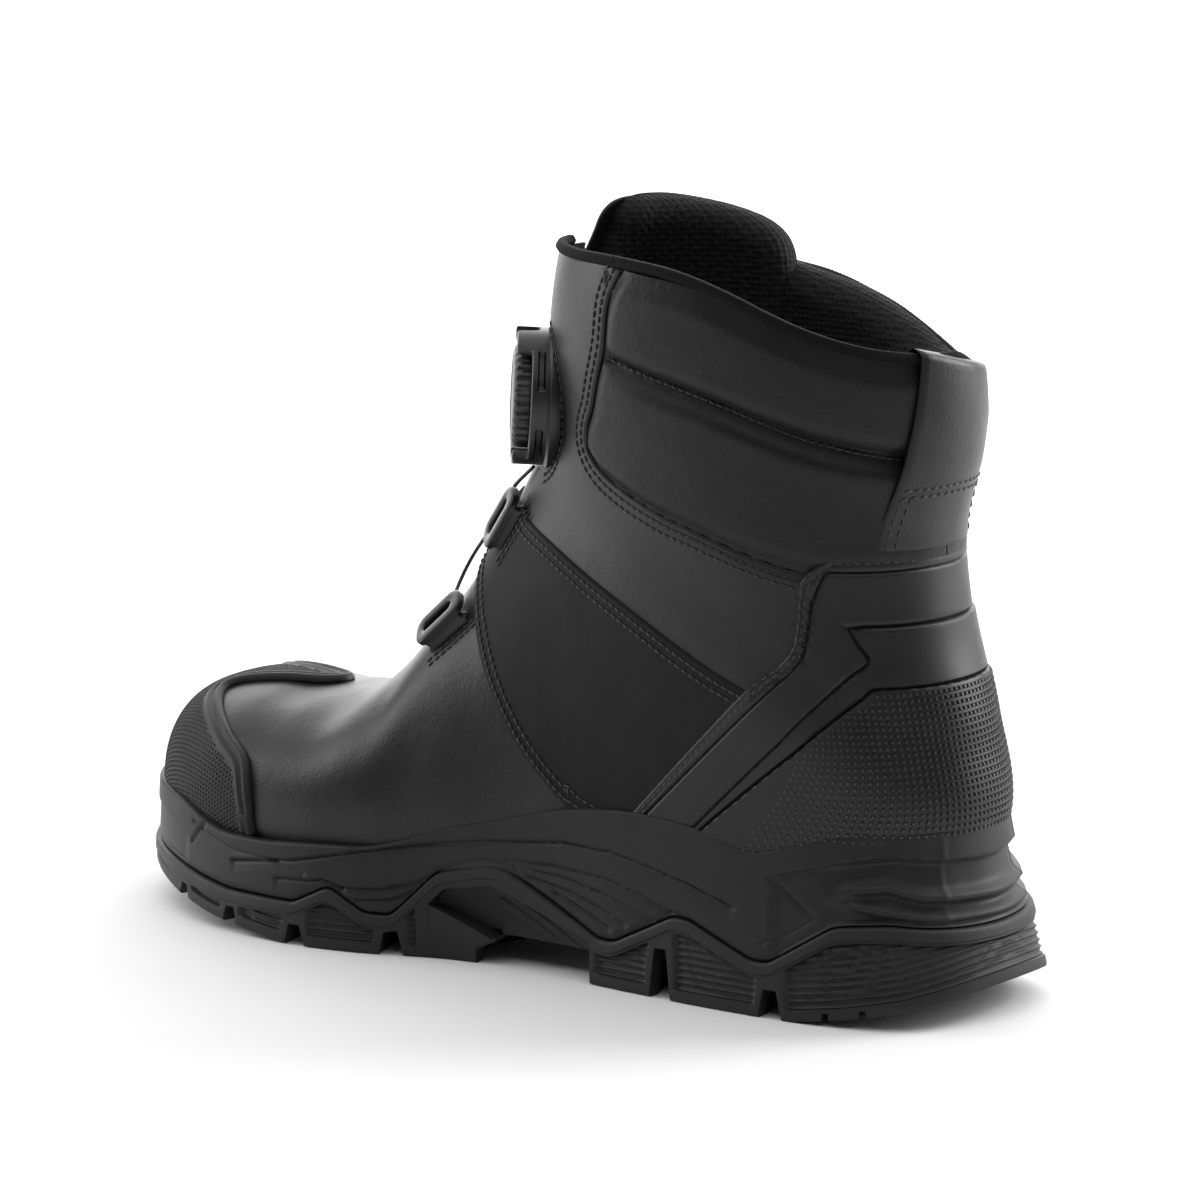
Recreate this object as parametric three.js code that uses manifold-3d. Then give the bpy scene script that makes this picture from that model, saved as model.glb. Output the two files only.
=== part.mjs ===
// Left safety work boot with a dial-and-wire closure. Millimetres; toe +X, wearer's left +Y, up +Z.
import * as THREE from 'three';
import { mergeVertices } from 'three/addons/utils/BufferGeometryUtils.js';
import Module from 'manifold-3d';

const wasm = await Module();
wasm.setup();

// overall sizes; the outlines below are drawn at these values and stretched with them
const soleLength = 312;
const soleWidth = 109.5;
const bootHeight = 228;
const drawnLength = 312;
const drawnWidth = 109.5;
const drawnHeight = 228;
const kx = soleLength / drawnLength;
const ky = soleWidth / drawnWidth;
const kz = bootHeight / drawnHeight;

// material thicknesses and fits
const fitGap = 0.3;
const leatherThick = 2;
const capThick = 1.8;
const liningThick = 1.2;
const overlayThick = 2.2;
const collarPadThick = 8.5;
const tonguePadThick = 7.5;
const boardThick = 2;
const footbedThick = 5;
const floorHeight = 21.7 * kz;
const bindingRadius = 2.1;

// dial and guides
const dialRadius = 15.5;
const dialHeight = 7.2;
const guardRadius = 20.5;
const guardWall = 3.4;
const guardHeight = 11;
const plateTop = 3;
const guideLength = 20;
const guideWidth = 11;
const guideThick = 2.4;
const wireRadius = 0.6;
const wireRoom = 3;
const wireHeight = 1.9;

// offsets of the layers below and above the outer leather face
const capOuter = -leatherThick - fitGap;
const capInner = capOuter - capThick;
const liningOuter = capInner - fitGap;
const liningInner = liningOuter - liningThick;
const padInner = capOuter - collarPadThick;
const overlayInner = fitGap;
const overlayOuter = overlayInner + overlayThick;

// cross-sections of the upper from toe tip to collar: front or top point, back or bottom point,
// place of the widest point between them, half width left and right, squareness front and back
const sections = [
  [145.0, 41, 145.0, 26, 0.60, 1, 1, 2.0, 2.0],
  [144.2, 47, 144.2, 23, 0.60, 10, 15, 2.1, 2.2],
  [141.8, 53, 141.8, 21, 0.60, 17.5, 23, 2.2, 2.6],
  [137.2, 59, 137.2, 20, 0.61, 25.5, 30, 2.3, 3.2],
  [130.0, 64, 130.0, 20, 0.62, 33.5, 36, 2.35, 4.0],
  [119.5, 67, 119.5, 20, 0.63, 40, 40, 2.35, 4.5],
  [105.0, 68.3, 105.0, 20, 0.64, 45.5, 43.5, 2.3, 5.0],
  [86.0, 68.5, 86.0, 20, 0.66, 48.5, 45, 2.2, 5.0],
  [68.0, 71.5, 66.0, 20, 0.68, 50, 44.5, 2.1, 5.0],
  [53.0, 82.5, 46.0, 20, 0.70, 49, 43, 2.0, 5.0],
  [41.5, 97, 18.0, 19, 0.72, 46, 40, 1.95, 5.0],
  [31.5, 111.5, -18.0, 18, 0.72, 42.5, 38, 1.9, 4.6],
  [22.8, 126.5, -62.0, 18, 0.66, 40.5, 37.5, 1.9, 4.0],
  [14.5, 141, -112.0, 22, 0.60, 40.5, 38.5, 1.95, 3.2],
  [8.5, 154.5, -141.0, 50, 0.57, 40, 38.5, 2.0, 2.5],
  [6.5, 168, -139.0, 80, 0.54, 39, 38.5, 2.05, 2.25],
  [4.5, 181, -131.0, 110, 0.52, 40, 39.5, 2.1, 2.2],
  [2.5, 195, -128.0, 138, 0.50, 42, 41, 2.1, 2.2],
  [0.0, 208, -131.5, 164, 0.49, 43.5, 42.5, 2.1, 2.2],
  [-3.5, 221, -132.5, 186, 0.49, 44, 43, 2.1, 2.2],
  [-8.0, 234, -131.0, 208, 0.49, 44, 43, 2.1, 2.2],
];
const lastSection = sections.length - 1;

function sectionAt(s) {
  const c = Math.min(Math.max(s, 0), lastSection - 1e-9);
  const i = Math.floor(c);
  const t = c - i;
  const slope = (k, j) => {
    if (k === 0) return sections[1][j] - sections[0][j];
    if (k === lastSection) return sections[k][j] - sections[k - 1][j];
    return (sections[k + 1][j] - sections[k - 1][j]) / 2;
  };
  return sections[i].map((a, j) => (2 * t ** 3 - 3 * t ** 2 + 1) * a
    + (t ** 3 - 2 * t ** 2 + t) * slope(i, j)
    + (-2 * t ** 3 + 3 * t ** 2) * sections[i + 1][j]
    + (t ** 3 - t ** 2) * slope(i + 1, j));
}

// a point of the outer leather face: s runs along the boot, angle round it (0 front, 180 back, + left)
function rawUpper(s, angle) {
  const [fx, fz, bx, bz, mid, left, right, squareF, squareB] = sectionAt(s);
  const cx = fx + (bx - fx) * mid;
  const cz = fz + (bz - fz) * mid;
  const cos = Math.cos(angle);
  const sin = Math.sin(angle);
  const square = cos >= 0 ? squareF : squareB;
  const r = (Math.abs(cos) ** square + Math.abs(sin) ** square) ** (-1 / square);
  const along = Math.abs(cos * r);
  const [ex, ez] = cos >= 0 ? [fx, fz] : [bx, bz];
  const half = sin >= 0 ? left : right;
  return new THREE.Vector3(
    (cx + (ex - cx) * along) * kx,
    Math.sign(sin) * half * Math.abs(sin * r) * ky,
    (cz + (ez - cz) * along) * kz,
  );
}

function upperNormal(s, angle) {
  const e = 1e-3;
  const ds = rawUpper(Math.min(s + e, lastSection), angle).sub(rawUpper(Math.max(s - e, 0), angle));
  const da = rawUpper(s, angle + e).sub(rawUpper(s, angle - e));
  const normal = da.cross(ds).normalize();
  const [fx, fz, bx, bz, mid] = sectionAt(s);
  const out = rawUpper(s, angle);
  out.x -= (fx + (bx - fx) * mid) * kx;
  out.z -= (fz + (bz - fz) * mid) * kz;
  return normal.dot(out) < 0 ? normal.negate() : normal;
}

function upperPoint(s, angle, offset) {
  return rawUpper(s, angle).addScaledVector(upperNormal(s, angle), offset);
}

const deg = (a) => a * Math.PI / 180;

// geometry helpers
function toSolid(geometry) {
  const g = geometry.clone();
  g.deleteAttribute('normal');
  g.deleteAttribute('uv');
  const merged = mergeVertices(g, 1e-4);
  const mesh = new wasm.Mesh({
    numProp: 3,
    vertProperties: new Float32Array(merged.attributes.position.array),
    triVerts: new Uint32Array(merged.index.array),
  });
  return new wasm.Manifold(mesh);
}

// turns a solid back into geometry, keeping its one main body
function toGeometry(solid) {
  const mesh = solid.getMesh();
  const count = mesh.vertProperties.length / mesh.numProp;
  const points = new Float32Array(count * 3);
  for (let i = 0; i < count; i += 1) {
    for (let k = 0; k < 3; k += 1) points[i * 3 + k] = mesh.vertProperties[i * mesh.numProp + k];
  }
  const g = new THREE.BufferGeometry();
  g.setAttribute('position', new THREE.BufferAttribute(points, 3));
  g.setIndex(new THREE.BufferAttribute(new Uint32Array(mesh.triVerts), 1));
  const merged = mergeVertices(g, 1e-5);
  const index = merged.index.array;
  const parent = Array.from({ length: merged.attributes.position.count }, (_, i) => i);
  const root = (i) => {
    let r = i;
    while (parent[r] !== r) r = parent[r];
    parent[i] = r;
    return r;
  };
  for (let i = 0; i < index.length; i += 3) {
    parent[root(index[i])] = root(index[i + 1]);
    parent[root(index[i + 1])] = root(index[i + 2]);
  }
  const volume = new Map();
  const v = [new THREE.Vector3(), new THREE.Vector3(), new THREE.Vector3()];
  for (let i = 0; i < index.length; i += 3) {
    v.forEach((p, k) => p.fromBufferAttribute(merged.attributes.position, index[i + k]));
    const r = root(index[i]);
    volume.set(r, (volume.get(r) ?? 0) + v[0].dot(v[1].clone().cross(v[2])) / 6);
  }
  const main = [...volume.entries()].sort((a, b) => b[1] - a[1])[0][0];
  const kept = [];
  for (let i = 0; i < index.length; i += 3) {
    if (root(index[i]) === main) kept.push(index[i], index[i + 1], index[i + 2]);
  }
  merged.setIndex(kept);
  const flat = merged.toNonIndexed();
  flat.computeVertexNormals();
  return flat;
}

// closes a stack of equal-length rings of points into a solid-sided geometry
function ringsGeometry(rings) {
  const n = rings[0].length;
  const positions = [];
  for (const ring of rings) for (const p of ring) positions.push(p.x, p.y, p.z);
  const index = [];
  for (let i = 0; i < rings.length - 1; i += 1) {
    for (let j = 0; j < n; j += 1) {
      const a = i * n + j;
      const b = i * n + (j + 1) % n;
      index.push(a, b, a + n, b, b + n, a + n);
    }
  }
  for (const [k, flip] of [[0, true], [rings.length - 1, false]]) {
    const centre = new THREE.Vector3();
    for (const p of rings[k]) centre.add(p);
    centre.divideScalar(n);
    const c = positions.length / 3;
    positions.push(centre.x, centre.y, centre.z);
    for (let j = 0; j < n; j += 1) {
      const a = k * n + j;
      const b = k * n + (j + 1) % n;
      index.push(...(flip ? [b, a, c] : [a, b, c]));
    }
  }
  const g = new THREE.BufferGeometry();
  g.setAttribute('position', new THREE.Float32BufferAttribute(positions, 3));
  g.setIndex(index);
  return g;
}

function outwardSolid(g) {
  const solid = toSolid(g);
  if (solid.volume() > 0) return solid;
  const index = Array.from(g.index.array);
  for (let i = 0; i < index.length; i += 3) [index[i], index[i + 1]] = [index[i + 1], index[i]];
  g.setIndex(index);
  return toSolid(g);
}

const offsetSolids = new Map();
const ringSteps = [0, 0.8, 1.8, 3, 4.3, 5.9, 7.6, 9, 9.9, 10.8, 11.7, 12.6, 13.3, 14.1, 15, 16.2, 17.6, 19, 20];
const ringAngles = 20;

// everything inside the outer leather face moved out by the offset
function upperSolid(offset) {
  const key = offset.toFixed(3);
  if (!offsetSolids.has(key)) {
    const rings = ringSteps.map((s) => Array.from({ length: ringAngles }, (_, j) => (
      upperPoint(s, deg(-180 + 360 * (j + 0.5) / ringAngles), offset))));
    offsetSolids.set(key, outwardSolid(ringsGeometry(rings)));
  }
  return offsetSolids.get(key);
}

// a side outline in (x, z) pushed across the boot from y0 to y1
function sidePrism(outline, y0, y1) {
  const shape = new THREE.Shape(outline.map(([x, z]) => new THREE.Vector2(x * kx, z * kz)));
  const g = new THREE.ExtrudeGeometry(shape, { depth: y1 - y0, bevelEnabled: false });
  g.rotateX(Math.PI / 2);
  g.translate(0, y1, 0);
  return toSolid(g);
}

function boxSolid(x0, x1, y0, y1, z0, z1) {
  const g = new THREE.BoxGeometry(x1 - x0, y1 - y0, z1 - z0);
  g.translate((x0 + x1) / 2, (y0 + y1) / 2, (z0 + z1) / 2);
  return toSolid(g);
}

const farOut = 90;
const sides = { left: [fitGap / 2, farOut], right: [-farOut, -fitGap / 2], both: [-farOut, farOut] };

function layer(outline, side, outer, inner, floor) {
  let solid = upperSolid(outer).subtract(upperSolid(inner));
  solid = solid.intersect(sidePrism(outline, ...sides[side]));
  return solid.intersect(boxSolid(-250, 250, -farOut, farOut, floor, 300 * kz));
}

// seams and edges on the side of the boot, (x, z)
const collarEdge = [[20, 211], [-9, 211.5], [-28, 212.5], [-47, 213.4], [-74.5, 210.4], [-93.4, 201.8],
  [-112.3, 194], [-129.2, 189.8], [-160, 187.5]];
const vampSeam = [[-30, 10], [-28, 47], [-25.4, 51], [-7.5, 66], [6.7, 81.4], [15.8, 94.3], [27, 110], [46, 134]];
const quarterSeam = [[50, 146.5], [13.9, 134], [-14.5, 125], [-41.5, 114.3], [-64.8, 103.7], [-87.6, 93.8], [-160, 60]];
const collarSeam = [[-46.5, 222], [-45.7, 212.4], [-38.6, 202.3], [-36.6, 186], [-30.3, 171.8], [-26.6, 162.3],
  [-28, 153.5], [-41.4, 146.6], [-71.8, 137.3], [-102, 129.1], [-160, 117]];
const shifted = (line, dx, dz) => line.map(([x, z]) => [x + dx, z + dz]);
const reversed = (line) => [...line].reverse();

// the lacing throat: a slanted slot in the front of the upper with a round lower end
const throatHalf = 8;
const throatFoot = 88;
const throatLean = -11;

function throatSolid(extra) {
  const shape = new THREE.Shape();
  const h = throatHalf + extra;
  shape.absarc(0, throatFoot, h, Math.PI, 2 * Math.PI, false);
  shape.lineTo(throatLean + h, drawnHeight + 20);
  shape.lineTo(throatLean - h, drawnHeight + 20);
  const g = new THREE.ExtrudeGeometry(shape, { depth: 160, bevelEnabled: false, curveSegments: 8 });
  g.rotateX(Math.PI / 2);
  g.rotateZ(Math.PI / 2);
  g.scale(1, ky, kz);
  g.translate(-60 * kx, 0, 0);
  return toSolid(g);
}
const throat = throatSolid(0);

const leatherFloor = floorHeight + fitGap;

function vamp() {
  const outline = [[170, 10], ...vampSeam, [170, 134]];
  return layer(outline, 'both', 0, -leatherThick, leatherFloor).subtract(throat);
}

function quarter(side) {
  const outline = [...shifted(vampSeam, -fitGap, 0.1), ...shifted(quarterSeam, 0, -fitGap / 2), [-160, 10]];
  return layer(outline, side, 0, -leatherThick, leatherFloor).subtract(throat);
}

function anklePanel(side) {
  const outline = [...reversed(shifted(quarterSeam, 0, fitGap)), ...[[60, 230], [-46, 230]],
    ...shifted(collarSeam, fitGap / 2, -fitGap / 2)];
  return layer(outline, side, 0, -leatherThick, leatherFloor)
    .intersect(sidePrism([[60, 0], ...collarEdge, [-160, 0]], ...sides.both)).subtract(throat);
}

function collarPanel(side) {
  const outline = [...shifted(collarSeam, -fitGap, fitGap), [-170, 117], [-170, 230]];
  return layer(outline, side, 0, -leatherThick, leatherFloor)
    .intersect(sidePrism([[60, 0], ...collarEdge, [-160, 0]], ...sides.both));
}

const padFront = -48;
const padFoot = 140;

function collarPad(side) {
  const outline = [[padFront, padFoot + 12], [padFront, 230], [-170, 230], [-170, padFoot - 22], [-100, padFoot - 8]];
  return layer(outline, side, capOuter, padInner, leatherFloor)
    .intersect(sidePrism([[60, 0], ...shifted(collarEdge, 0, -fitGap), [-160, 0]], ...sides.both));
}

const insideFloor = leatherFloor + boardThick + fitGap;

function quarterLining(side) {
  const outline = [[-13, 10], [-13, 60], [-34, 92], [-50, 146], [-100, padFoot - 10], [-170, padFoot - 26], [-170, 10]];
  return layer(outline, side, liningOuter, liningInner, insideFloor);
}

function vampLining() {
  const outline = [[-12.6, 10], [-12.6, 59], [20, 68], [48, 72], [57, 92], [170, 92], [170, 10]];
  return layer(outline, 'both', liningOuter, liningInner, insideFloor);
}

function steelToeCap() {
  return layer([[97, 10], [92, 92], [170, 92], [170, 10]], 'both', capOuter, capInner, insideFloor);
}

function heelCounter() {
  return layer([[-170, 10], [-72, 10], [-84, 62], [-112, 100], [-170, 106]], 'both', capOuter, capInner, insideFloor);
}

function insoleBoard() {
  return upperSolid(capOuter).intersect(boxSolid(-250, 250, -farOut, farOut, leatherFloor + 0.05, leatherFloor + boardThick));
}

function footbed() {
  return upperSolid(liningInner - fitGap)
    .intersect(boxSolid(-250, 250, -farOut, farOut, insideFloor, insideFloor + footbedThick));
}

// sole outlines: at the ground and at the edge where the midsole meets the upper
const groundOutline = [[-156, 0], [-152, 22], [-141, 36], [-118, 44.5], [-85, 46.5], [-50, 45], [-15, 42], [15, 44],
  [44, 54], [69, 57.5], [99, 53.5], [124, 42], [144, 24], [154.5, 2], [155, -12], [150, -28], [134, -42],
  [106, -50], [69, -52], [34, -47], [-6, -40], [-46, -40], [-86, -43], [-116, -43], [-140, -35.5], [-152, -22]];
const edgeOutline = [[-145.5, 0], [-142, 17], [-131, 29], [-113, 37.5], [-83, 42.5], [-50, 43], [-15, 43.5], [15, 47],
  [43, 51.5], [67, 52.5], [95, 49.5], [118, 43], [135.5, 31], [147, 6], [147, -10], [141, -27], [127, -40],
  [103, -46.3], [68, -47], [34, -43.5], [-6, -41], [-46, -40.5], [-86, -40.5], [-112, -36.5], [-131, -28], [-142, -16]];

function closedCurve(points, t) {
  const n = points.length;
  const i = Math.floor(t) % n;
  const u = t - Math.floor(t);
  const [a, b, c, d] = [points[(i + n - 1) % n], points[i], points[(i + 1) % n], points[(i + 2) % n]];
  return [0, 1].map((k) => 0.5 * (2 * b[k] + (c[k] - a[k]) * u + (2 * a[k] - 5 * b[k] + 4 * c[k] - d[k]) * u * u
    + (-a[k] + 3 * b[k] - 3 * c[k] + d[k]) * u ** 3));
}

// how far the side wall has leaned from the ground outline to the edge outline at a height
function lean(z) {
  const v = Math.min(Math.max((z - 6) / 50, 0), 1);
  return v * v * (3 - 2 * v) * 0.35 + v * 0.65;
}

function soleBlock(levels, inset) {
  const count = groundOutline.length * 1.5;
  const rings = levels.map((z) => Array.from({ length: count }, (_, j) => {
    const t = j / 1.5;
    const [gx, gy] = closedCurve(groundOutline, t);
    const [ex, ey] = closedCurve(edgeOutline, t);
    const x = gx + (ex - gx) * lean(z);
    const y = gy + (ey - gy) * lean(z);
    const shrink = 1 - inset / Math.hypot(x * 0.35, y);
    return new THREE.Vector3(x * kx, y * shrink * ky, z * kz);
  }));
  return outwardSolid(ringsGeometry(rings));
}

// upper edge of the outsole, toe to heel, and the midsole edge above it
const rimLine = [[170, 23], [156, 20.5], [142, 18], [119, 16], [92, 13], [65, 13], [54, 18.5], [40, 12], [33, 12], [19, 26],
  [1, 30.5], [-3, 30], [-41, 13], [-69, 25.5], [-97, 15.5], [-124, 28.5], [-139, 29.5], [-170, 26]];
const featherLine = [[170, 40], [142, 38], [120, 35.5], [106, 31], [97, 29.5], [80, 29.5], [60, 31], [41, 32], [26, 36],
  [20, 39], [4, 43], [-25, 51], [-40, 53], [-52, 53.5], [-72, 52], [-94, 46.5], [-124, 54.5], [-145, 56], [-170, 55]];

// tread: bottom line from heel to toe, and the cross grooves [x, width, top]
const treadLine = [[-170, 14], [-156, 10.5], [-148, 7.5], [-140, 5.2], [-124, 2.2], [-108, 0], [-38, 0], [-35, 2], [-35, 12.2],
  [1, 24.5], [17, 21.5], [22, 16.5], [0, 7.5], [7, 4], [7, 0], [59, 0], [72, 0.6], [88, 2.5], [100, 4], [113, 6],
  [126, 8], [142, 10.5], [156, 13.5], [170, 17]];
const grooves = [[-130, 1.6, 8], [-119, 1.6, 6], [-101, 3.4, 8.5], [-62, 5.5, 15], [33, 3, 7.5], [64, 3, 6.5], [90, 3, 9.5],
  [114, 3, 12]];
const centreGroove = 9;
const rimThick = 5;
const webTop = 13;
const shankTop = 17;
const archWindow = [[22, 16.5], [17, 21.5], [1, 24.5], [-35, 12.5], [-35, 2], [0, 2], [0, 7.5]];

// the room inside the outsole's rim, from its web up
function rimRoom(extra, top) {
  const web = (webTop + extra) * kz;
  return soleBlock([4, 12, 18, 36], rimThick + extra).intersect(boxSolid(-250, 250, -farOut, farOut, web, top * kz));
}

// the room for the lasted upper above the midsole floor
function footRoom(extra) {
  const foot = floorHeight + fitGap - extra;
  return upperSolid(extra).intersect(boxSolid(-250, 250, -farOut, farOut, foot, 300 * kz));
}

function outsole() {
  let solid = soleBlock([-3, 6, 18, 32], 0).intersect(sidePrism([...rimLine, ...treadLine], ...sides.both));
  for (const [x, width, top] of grooves) {
    const cut = [[x - width / 2, -6], [x + width / 2, -6], [x + width / 2 - 0.4, top], [x - width / 2 + 0.4, top]];
    solid = solid.subtract(sidePrism(cut, ...sides.both));
  }
  const halfGroove = centreGroove * ky / 2;
  const frontGroove = boxSolid(-2 * kx, 128 * kx, -halfGroove, halfGroove, -6, 5.5 * kz);
  const heelGroove = boxSolid(-136 * kx, -30 * kx, -halfGroove, halfGroove, -6, 5.5 * kz);
  return solid.subtract(frontGroove).subtract(heelGroove).subtract(rimRoom(0, 40)).subtract(footRoom(1.5));
}

function midsole() {
  const outline = [...shifted(rimLine, 0, fitGap * 1.4), ...reversed(featherLine)];
  const shankRoom = sidePrism(archWindow, ...sides.both)
    .intersect(boxSolid(-250, 250, -farOut, farOut, 0, (shankTop + fitGap) * kz));
  return soleBlock([8, 18, 30, 44, 62], 0).intersect(sidePrism(outline, ...sides.both))
    .add(rimRoom(fitGap, 26)).subtract(footRoom(fitGap)).subtract(shankRoom);
}

function shank() {
  const outline = [[20.6, 16.6], [20, 17], [-20.6, 17], [-33.2, 12.5], [-1, 8.2]];
  return soleBlock([4, 18, 30], 3).intersect(sidePrism(outline, ...sides.both))
    .intersect(boxSolid(-250, 250, -farOut, farOut, 0, shankTop * kz));
}

function toeBumper() {
  const outline = [[84.6, 10], [84.6, 29.4], [86.2, 39.9], [90.8, 50.6], [101.3, 56.9], [114.2, 62.3], [119.3, 64.7],
    [115.3, 66.8], [98.7, 67.4], [88, 67.4], [88, 90], [170, 90], [170, 10]];
  const soleClear = soleBlock([8, 18, 30, 44, 62], 0)
    .intersect(sidePrism([[170, 0], ...shifted(featherLine, 0, fitGap), [-170, 0]], ...sides.both));
  return layer(outline, 'both', overlayOuter, overlayInner, floorHeight).subtract(soleClear);
}

// heel support: a diagonal strap on each side running into a cup round the heel
const supportTop = 134;

function heelSupport() {
  const outline = [[-170, supportTop], [-119, 134], [-110.5, 133], [-105.5, 130.4], [-102.9, 125.4], [-102.1, 109.5],
    [-98, 102], [-87.6, 93.3], [-69, 74], [-49.5, 53.6], [-47, 40], [-170, 40]];
  const soleClear = soleBlock([8, 18, 30, 44, 62], 0)
    .intersect(sidePrism([[170, 0], ...shifted(featherLine, 0, fitGap), [-170, 0]], ...sides.both));
  return layer(outline, 'both', overlayOuter, overlayInner, floorHeight).subtract(soleClear);
}

function pullTab() {
  const foot = supportTop + fitGap * 1.5;
  const outline = [[-170, foot], [-118.6, foot], [-123.9, 155.9], [-127.6, 173.3], [-128.2, 186.5], [-170, 184.5]];
  return layer(outline, 'both', overlayOuter, overlayInner, floorHeight);
}

// the tongue outline seen from the front, (y, z): narrow at its foot, rounded at its top
const tongueHalfTop = 33;
const tongueHalfFoot = 19;
const tongueFoot = 84;
const tongueTop = 228;

function tongueSlab(trim) {
  const shape = new THREE.Shape();
  const top = tongueTop - trim;
  const wide = tongueHalfTop - trim;
  const narrow = tongueHalfFoot - trim;
  shape.moveTo(-narrow, tongueFoot + 3 * trim);
  shape.lineTo(narrow, tongueFoot + 3 * trim);
  shape.lineTo(wide, 150);
  shape.lineTo(wide, top - 14);
  shape.quadraticCurveTo(wide, top, wide - 16, top);
  shape.lineTo(-wide + 16, top);
  shape.quadraticCurveTo(-wide, top, -wide, top - 14);
  shape.lineTo(-wide, 150);
  const g = new THREE.ExtrudeGeometry(shape, { depth: 110, bevelEnabled: false, curveSegments: 3 });
  g.rotateX(Math.PI / 2);
  g.rotateZ(Math.PI / 2);
  g.scale(kx, ky, kz);
  g.translate(-46 * kx, 0, 0);
  return toSolid(g);
}

const tongueInner = capOuter - 1.5;

function tongueShell() {
  return upperSolid(capOuter).subtract(upperSolid(tongueInner)).intersect(tongueSlab(0));
}

function tonguePad() {
  const outer = tongueInner - fitGap;
  return upperSolid(outer).subtract(upperSolid(outer - tonguePadThick)).intersect(tongueSlab(1.5));
}

// where the collar edge crosses the section angle, found by halving
function collarPoint(angle, offset, rise) {
  const edgeHeight = (x) => {
    for (let i = 0; i < collarEdge.length - 1; i += 1) {
      const [x0, z0] = collarEdge[i];
      const [x1, z1] = collarEdge[i + 1];
      if (x / kx <= x0 && x / kx >= x1) return (z0 + (z1 - z0) * (x / kx - x0) / (x1 - x0)) * kz;
    }
    return collarEdge[collarEdge.length - 1][1] * kz;
  };
  let low = 16;
  let high = lastSection;
  for (let k = 0; k < 30; k += 1) {
    const mid = (low + high) / 2;
    const p = upperPoint(mid, angle, offset);
    if (p.z < edgeHeight(p.x)) low = mid;
    else high = mid;
  }
  const p = upperPoint((low + high) / 2, angle, offset);
  return p.setZ(p.z + rise);
}

function tube(points, radius, steps, facets, closed) {
  const circle = new THREE.Shape();
  circle.absarc(0, 0, radius, 0, 2 * Math.PI, false);
  const path = new THREE.CatmullRomCurve3(points, closed, 'centripetal');
  return new THREE.ExtrudeGeometry(circle, { steps, curveSegments: facets / 2, bevelEnabled: false, extrudePath: path });
}

const bindingStart = 12;
const bindingOut = 0.4;

function collarBinding() {
  const points = [];
  const leftAngle = bindingStart;
  const rightAngle = 360 - bindingStart - 24;
  const count = 26;
  for (let i = 0; i <= count; i += 1) {
    const a = leftAngle + (rightAngle - leftAngle) * i / count;
    points.push(collarPoint(deg(a > 180 ? a - 360 : a), bindingOut, bindingRadius + fitGap + 0.25));
  }
  return tube(points, bindingRadius, 36, 6, false);
}

// a local frame standing on the upper: z outwards, x up along the boot
function frameAt(s, angle) {
  const origin = rawUpper(s, deg(angle));
  const z = upperNormal(s, deg(angle));
  const x = rawUpper(s + 0.01, deg(angle)).sub(rawUpper(s - 0.01, deg(angle)));
  x.addScaledVector(z, -x.dot(z)).normalize();
  const y = z.clone().cross(x);
  return new THREE.Matrix4().makeBasis(x, y, z).setPosition(origin);
}

function cylinder(radius, z0, z1, facets) {
  const g = new THREE.CylinderGeometry(radius, radius, z1 - z0, facets);
  g.rotateX(Math.PI / 2);
  g.translate(0, 0, (z0 + z1) / 2);
  return g;
}

function placed(g, frame) {
  const h = g.clone();
  h.applyMatrix4(frame);
  return toSolid(h);
}

const dialFrame = frameAt(15.15, 22);
const dialAxis = new THREE.Vector3().setFromMatrixColumn(dialFrame, 2);
const dialCentre = new THREE.Vector3().setFromMatrixPosition(dialFrame);
const baseRadius = dialRadius - 1.2;

function dialGuard() {
  const plate = placed(cylinder(guardRadius, -9, plateTop, 24), dialFrame);
  let solid = plate;
  for (const turn of [0, Math.PI]) {
    const wing = new THREE.Shape();
    const half = deg(48);
    wing.absarc(0, 0, guardRadius - 0.5, turn - half, turn + half, false);
    wing.absarc(0, 0, guardRadius - guardWall, turn + half, turn - half, true);
    const g = new THREE.ExtrudeGeometry(wing, { depth: guardHeight - plateTop + 1, bevelEnabled: false, curveSegments: 6 });
    g.translate(0, 0, plateTop - 1);
    solid = solid.add(placed(g, dialFrame));
  }
  solid = solid.subtract(placed(cylinder(baseRadius + fitGap, -12, plateTop + 1, 24), dialFrame));
  return solid.subtract(upperSolid(fitGap));
}

function dialBase() {
  return placed(cylinder(baseRadius, -9, plateTop, 24), dialFrame).subtract(upperSolid(fitGap));
}

const spoolFoot = plateTop + fitGap;
const spoolTop = spoolFoot + 2.2;
const postRadius = 4;
const postTop = spoolTop + 2.6;

function dialSpool() {
  const profile = [[0, spoolFoot], [dialRadius - 4.2, spoolFoot], [dialRadius - 4.2, spoolTop], [postRadius, spoolTop],
    [postRadius, postTop], [0, postTop]];
  const g = new THREE.LatheGeometry(profile.map(([r, z]) => new THREE.Vector2(r, z)), 24);
  g.rotateX(Math.PI / 2);
  return g;
}

function dialKnob() {
  const top = spoolFoot + dialHeight;
  const outer = new THREE.Shape();
  const teeth = 20;
  for (let i = 0; i < teeth * 4; i += 1) {
    const a = 2 * Math.PI * i / (teeth * 4);
    const r = dialRadius - (i % 4 < 2 ? 0 : 0.7);
    if (i === 0) outer.moveTo(r, 0);
    else outer.lineTo(r * Math.cos(a), r * Math.sin(a));
  }
  const g = new THREE.ExtrudeGeometry(outer, { depth: top - spoolFoot - 1, bevelEnabled: true, bevelThickness: 1,
    bevelSize: 1, bevelOffset: -1, bevelSegments: 1 });
  g.translate(0, 0, spoolFoot);
  let solid = toSolid(g).subtract(toSolid(cylinder(40, spoolFoot - 3, spoolFoot + 0.001, 12)));
  solid = solid.subtract(toSolid(cylinder(dialRadius - 3.9, spoolFoot - 3, spoolTop + fitGap, 24)));
  return solid.subtract(toSolid(cylinder(postRadius + fitGap, spoolFoot - 3, postTop + fitGap, 16)));
}

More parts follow.
